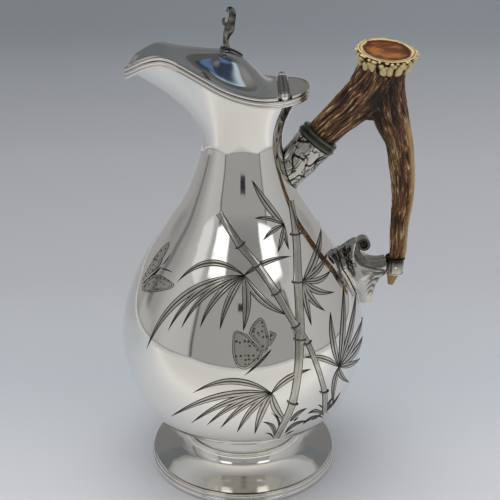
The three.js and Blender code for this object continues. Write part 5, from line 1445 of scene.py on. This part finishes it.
class JUG_OT_finial(JugOperator, bpy.types.Operator):
    """Cast scroll on its leaf foot"""
    bl_idname = "jug.finial"
    bl_label = "Finial"

    def build(self, scene):
        cast = relief_silver("cast finial silver", 0x1A1917, 0xA5A39D, 0.4, 1.0, 0.1)
        add_piece("finial_scroll", finial_parts(), cast, "lid")
        add_piece("finial_leaf_foot", leaf_foot_parts(), cast, "lid")


class JUG_OT_engraving(JugOperator, bpy.types.Operator):
    """Bamboo and butterflies engraved on both sides of the belly"""
    bl_idname = "jug.engraving"
    bl_label = "Engraving"

    def build(self, scene):
        leaf = engraved_silver(scene.jug_silver, "engraved leaves", 0.5)
        cane = engraved_silver(scene.jug_silver, "engraved canes", 0.8)
        wing = engraved_silver(scene.jug_silver, "engraved wings", 0.0, 0.85)
        leaves = [leaf_part(*root, *tip) for root, tips in LEAF_FANS for tip in tips]
        blades = [leaf_part(*blade) for blade in TUFTS + FEELERS]
        for name, parts, material in (("stalks", stalk_parts(), cane), ("leaves", leaves, leaf),
                                      ("blades", blades, cane), ("wings", [wing_part(w) for w in WINGS], wing)):
            add_piece(f"engraved_{name}_near", parts, material, "pot", ())
            add_piece(f"engraved_{name}_far", mirrored(parts), material, "pot", ())


class JUG_OT_fasteners(JugOperator, bpy.types.Operator):
    """Finish for the hidden pins, washer and nut, which keep their solids"""
    bl_idname = "jug.fasteners"
    bl_label = "Fasteners"

    def build(self, scene):
        silver = polished_silver(scene.jug_silver)
        for name in ("hinge_pin", "upper_socket_pin", "tine_collar_pin", "finial_washer", "finial_nut"):
            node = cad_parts[name]
            if node.material_slots:
                node.material_slots[0].material = silver
            else:
                node.data.materials.append(silver)


# Stage

TENT_CORNERS = np.array([[-575, -580], [515, -580], [515, 640], [-575, 640]], float)
TENT_LOW, TENT_TALL = -5.0, 525
# Greys of the tent by degrees round from the front
TENT_GREYS = ((-180, 0.37), (-127, 0.35), (-108, 0.31), (-104, 0.16), (-102, 0.16), (-98.5, 0.3), (-91, 0.32),
              (-82, 0.42), (-71, 0.5), (-47, 0.46), (-46, 0.05), (-44.6, 0.05), (-43.6, 0.33), (0, 0.335),
              (46.6, 0.33), (47.4, 0.06), (48.6, 0.06), (49.4, 0.49), (75, 0.45), (110, 0.38), (180, 0.36))
# Patches of the walls and of the sky: degrees round, degrees up, softness of the edge and colour
WALL_PATCHES = (((-112, -90), (-4, 11), 5, (0.42, 0.42, 0.42)), ((-4.5, 7.0), (32.5, 35.8), 0.6, (0.02, 0.02, 0.025)))
SKY_PATCHES = (((55, 150), (63, 78), 6, (0.03, 0.045, 0.08)), ((60, 118), (61, 67.5), 4, (0.45, 0.54, 0.62)),
               ((100, 150), (70, 76), 5, (0.1, 0.17, 0.3)), ((-76, -57), (30, 44), 8, (0.72, 0.72, 0.72)),
               ((-49, -25), (39, 54), 2.5, (1.25, 1.25, 1.25)), ((32, 57), (38, 53), 2.5, (1.25, 1.25, 1.25)))
PLAIN_GREY = (0.42, 0.43, 0.45)
# Lamps: name, share of the strength and angle across
LAMPS = (("window_light", 0.62, 60), ("tent_light", 0.38, 175))
LAMP_TILT = (math.radians(-14), math.radians(-6), 0)
# The floor's colours by metres from the pot towards the back. They are painted light and shade: a lighter band just in
# front of the pot, where its shadow falls, and darker towards the back
FLOOR_NEAR, FLOOR_RUN = -0.5, 2.5
FLOOR_COLOURS = ((-0.3, 0xC0BFBC), (-0.19, 0xC6C5C2), (-0.12, 0xD6D5D2), (-0.045, 0xC0C1C5), (0.086, 0xADB2B7),
                 (0.16, 0xACAFB3), (0.253, 0xA6A7AB), (0.643, 0x9E9FA3), (0.9, 0x989A9E), (1.19, 0x94989C),
                 (1.45, 0x898E93))


def floor_sheet(half_width=2600, back=1300, bend_radius=700, top=3200.0):
    """Floor that curves up into a backdrop: flat, a quarter circle, then upright."""
    flat = np.linspace(-half_width, back, 60)
    bend = np.linspace(0, math.pi / 2, 24)[1:]
    y = np.concatenate([flat, back + bend_radius * np.sin(bend), [back + bend_radius]])
    z = np.concatenate([0 * flat, bend_radius * (1 - np.cos(bend)), [top]])
    x = np.linspace(-half_width, half_width, 9)
    grid = np.stack(np.broadcast_arrays(x[None], y[:, None], z[:, None]), -1)
    ids = np.arange(grid[..., 0].size).reshape(grid.shape[:2])
    faces = np.stack([ids[:-1, :-1], ids[:-1, 1:], ids[1:, 1:], ids[1:, :-1]], -1).reshape(-1, 4)
    return grid.reshape(-1, 3), [faces]


def tent_shade(tree, place):
    """Brightness of the tent in a direction from the pot: front panel, brighter side panels that fade
    towards the back, and a thin dark seam in each front corner."""
    front = add_node(tree, "Math", {0: place["Y"], 1: -1.0}, operation="MULTIPLY").outputs[0]
    turn = add_node(tree, "Math", {0: place["X"], 1: front}, operation="ARCTAN2").outputs[0]
    share = add_node(tree, "MapRange", {"Value": turn, "From Min": -math.pi, "From Max": math.pi}).outputs[0]
    return turn, set_ramp(add_node(tree, "ValToRGB", {"Fac": share}),
                          [((angle + 180) / 360, grey) for angle, grey in TENT_GREYS])


def dim_back(tree, shade, turn, height, low, high):
    """Darkens the back of the tent above a height, which the lid reflects."""
    size = add_node(tree, "Math", {0: turn}, operation="ABSOLUTE").outputs[0]
    insides = [add_node(tree, "MapRange", {"Value": value, "From Min": start, "From Max": end},
                        interpolation_type="SMOOTHSTEP").outputs[0]
               for value, start, end in ((size, math.radians(105), math.radians(140)), (height, low, high))]
    both = add_node(tree, "Math", dict(enumerate(insides)), operation="MULTIPLY").outputs[0]
    kept = add_node(tree, "Math", {0: both, 1: -0.5, 2: 1.0}, operation="MULTIPLY_ADD").outputs[0]
    return add_node(tree, "VectorMath", {0: shade, "Scale": kept}, operation="SCALE").outputs[0]


def lay_patch(tree, under, turn, level, span, rise, edge, colour):
    """Lays a soft-edged rectangle of a colour over the tent, given in degrees round and up."""
    insides = []
    for value, (low, high) in ((turn, span), (level, rise)):
        away = add_node(tree, "Math", {0: value, 1: math.radians((low + high) / 2)}, operation="SUBTRACT").outputs[0]
        size = add_node(tree, "Math", {0: away}, operation="ABSOLUTE").outputs[0]
        half, soft = math.radians((high - low) / 2), math.radians(edge) / 2
        insides.append(add_node(tree, "MapRange", {"Value": size, "From Min": half + soft, "From Max": half - soft},
                                interpolation_type="SMOOTHSTEP").outputs[0])
    factor = add_node(tree, "Math", dict(enumerate(insides)), operation="MULTIPLY").outputs[0]
    return add_node(tree, "Mix", {"Factor": factor, "A": under, "B": (*colour, 1)}, data_type="RGBA").outputs["Result"]


class JUG_OT_stage(JugOperator, bpy.types.Operator):
    """Floor, tent, lamp and camera"""
    bl_idname = "jug.stage"
    bl_label = "Stage"

    def build(self, scene):
        settings = scene.jug_stage
        self.add_camera(scene)
        self.add_floor()
        self.add_walls(settings)
        self.add_sky(scene, settings)
        for name, energy, angle in LAMPS:
            lamp = bpy.data.lights.new(name, "SUN")
            lamp.energy = settings.lamp * energy
            lamp.angle = math.radians(angle)
            holder = add_object(name, lamp)
            holder.rotation_euler = LAMP_TILT
            holder.visible_glossy = False
        scene.view_settings.view_transform = "Standard"

    def add_camera(self, scene):
        camera = bpy.data.cameras.new("camera")
        camera.sensor_width = 36.0
        camera.lens = FOCAL_PIXELS * camera.sensor_width / (2 * PICTURE_MIDDLE)
        camera.clip_start, camera.clip_end = 0.01, 20.0
        holder = add_object("camera", camera)
        holder.location = (CAMERA[0] * MM + AXIS_X, CAMERA[1] * MM, CAMERA[2] * MM)
        holder.rotation_euler = (math.pi / 2 - CAMERA_PITCH, 0, 0)
        scene.camera = holder

    def add_floor(self):
        mesh = new_mesh("floor", *floor_sheet())
        mesh.shade_smooth()
        material, tree, shader, place = new_material("matt paper sweep")
        place = add_node(tree, "SeparateXYZ", {0: place}).outputs
        share = add_node(tree, "MapRange", {"Value": place["Y"], "From Min": FLOOR_NEAR,
                                            "From Max": FLOOR_NEAR + FLOOR_RUN}).outputs[0]
        shade = set_ramp(add_node(tree, "ValToRGB", {"Fac": share}),
                         [((y - FLOOR_NEAR) / FLOOR_RUN, colour) for y, colour in FLOOR_COLOURS])
        # Painted light: the floor is made lighter towards +X and darker towards -X
        slope = add_node(tree, "MapRange", {"Value": place["X"], "From Min": -0.35, "From Max": 0.35,
                                            "To Min": 0.94, "To Max": 1.06}).outputs[0]
        shade = add_node(tree, "VectorMath", {0: shade, "Scale": slope}, operation="SCALE").outputs[0]
        set_inputs(tree, shader, {"Base Color": shade, "Roughness": 0.9, "Specular IOR Level": 0.2})
        mesh.materials.append(material)
        add_object("floor", mesh)

    def add_walls(self, settings):
        """Four cloth walls that only reflections see, with a dark patch for the lens's hole in the front one."""
        low = np.column_stack([TENT_CORNERS, np.full(4, TENT_LOW)])
        faces = [np.array([[k, (k + 1) % 4, (k + 1) % 4 + 4, k + 4] for k in range(4)])]
        mesh = new_mesh("tent_walls", np.vstack([low, low + [0, 0, TENT_TALL]]), faces)
        material, tree, shader, place = new_material("white tent cloth")
        moved = add_node(tree, "VectorMath", {0: place, 1: (-AXIS_X, 0, 0)}).outputs[0]
        place = add_node(tree, "SeparateXYZ", {0: moved}).outputs
        turn, shade = tent_shade(tree, place)
        run = add_node(tree, "VectorMath", {0: moved, 1: (1, 1, 0)}, operation="MULTIPLY").outputs[0]
        length = add_node(tree, "VectorMath", {0: run}, operation="LENGTH").outputs["Value"]
        level = add_node(tree, "Math", {0: place["Z"], 1: length}, operation="ARCTAN2").outputs[0]
        shade = dim_back(tree, shade, turn, place["Z"], 0.2, 0.3)
        for patch in WALL_PATCHES:
            shade = lay_patch(tree, shade, turn, level, *patch)
        # A lip of the floor paper stands against the foot of the wall, with a thin shadow along its edge
        rise = add_node(tree, "MapRange", {"Value": place["Z"], "From Max": 0.1}).outputs[0]
        for grey, stops in ((0.56, [(0.0, 1.0), (0.26, 1.0), (0.27, 0.0), (1.0, 0.0)]),
                            (0.04, [(0.25, 0.0), (0.27, 0.85), (0.31, 0.85), (0.33, 0.0)])):
            share = set_ramp(add_node(tree, "ValToRGB", {"Fac": rise}), stops)
            shade = add_node(tree, "Mix", {"Factor": share, "A": shade, "B": (grey, grey, grey, 1)},
                             data_type="RGBA").outputs["Result"]
        set_inputs(tree, shader, {"Emission Color": shade, "Emission Strength": settings.room,
                                  "Base Color": (0, 0, 0, 1), "Specular IOR Level": 0.0})
        mesh.materials.append(material)
        walls = add_object("tent_walls", mesh)
        for ray in ("camera", "diffuse", "transmission", "volume_scatter", "shadow"):
            setattr(walls, "visible_" + ray, False)

    def add_sky(self, scene, settings):
        """Upper part of the tent, seen by direction: darker towards the top, with bluish patches high on the
        handle's side, which the lid reflects, and lower down two bright windows and a softer one. The camera
        itself sees a plain grey instead, where the floor ends."""
        world = bpy.data.worlds.new("tent")
        scene.world = world
        world.use_nodes = True
        tree = world.node_tree
        place = add_node(tree, "SeparateXYZ", {0: add_node(tree, "TexCoord").outputs["Generated"]}).outputs
        turn, shade = tent_shade(tree, place)
        level = add_node(tree, "Math", {0: place["Z"]}, operation="ARCSINE").outputs[0]
        dim = add_node(tree, "MapRange", {"Value": level, "From Min": math.radians(30), "From Max": math.radians(60),
                                          "To Min": 1.0, "To Max": 0.5}).outputs[0]
        shade = add_node(tree, "VectorMath", {0: shade, "Scale": dim}, operation="SCALE").outputs[0]
        shade = dim_back(tree, shade, turn, level, math.radians(2), math.radians(10))
        for patch in SKY_PATCHES:
            shade = lay_patch(tree, shade, turn, level, *patch)
        seen = add_node(tree, "LightPath").outputs["Is Camera Ray"]
        shade = add_node(tree, "Mix", {"Factor": seen, "A": shade, "B": (*PLAIN_GREY, 1)},
                         data_type="RGBA").outputs["Result"]
        set_inputs(tree, tree.nodes["Background"], {"Color": shade, "Strength": settings.room})


class JUG_PT_panel(bpy.types.Panel):
    """Buttons and settings for the jug"""
    bl_idname = "JUG_PT_panel"
    bl_label = "Jug"
    bl_space_type = "VIEW_3D"
    bl_region_type = "UI"
    bl_category = "Jug"

    def draw(self, context):
        for settings in (context.scene.jug_silver, context.scene.jug_antler, context.scene.jug_stage):
            for key in type(settings).__annotations__:
                self.layout.prop(settings, key)
        for operator in OPERATORS:
            self.layout.operator(operator.bl_idname)


OPERATORS = (JUG_OT_stage, JUG_OT_body, JUG_OT_mouth, JUG_OT_lid, JUG_OT_foot, JUG_OT_hinge, JUG_OT_handle,
             JUG_OT_bracket, JUG_OT_finial, JUG_OT_engraving, JUG_OT_fasteners)
GROUPS = (("jug_silver", JugSilver), ("jug_antler", JugAntler), ("jug_stage", JugStage))


def register():
    for name, group in GROUPS:
        bpy.utils.register_class(group)
        setattr(bpy.types.Scene, name, PointerProperty(type=group))
    for kind in (*OPERATORS, JUG_PT_panel):
        bpy.utils.register_class(kind)


def unregister():
    for kind in (JUG_PT_panel, *reversed(OPERATORS)):
        bpy.utils.unregister_class(kind)
    for name, group in reversed(GROUPS):
        delattr(bpy.types.Scene, name)
        bpy.utils.unregister_class(group)


def main():
    register()
    for operator in OPERATORS:
        group, name = operator.bl_idname.split(".")
        getattr(getattr(bpy.ops, group), name)()


if __name__ == "__main__":
    main()
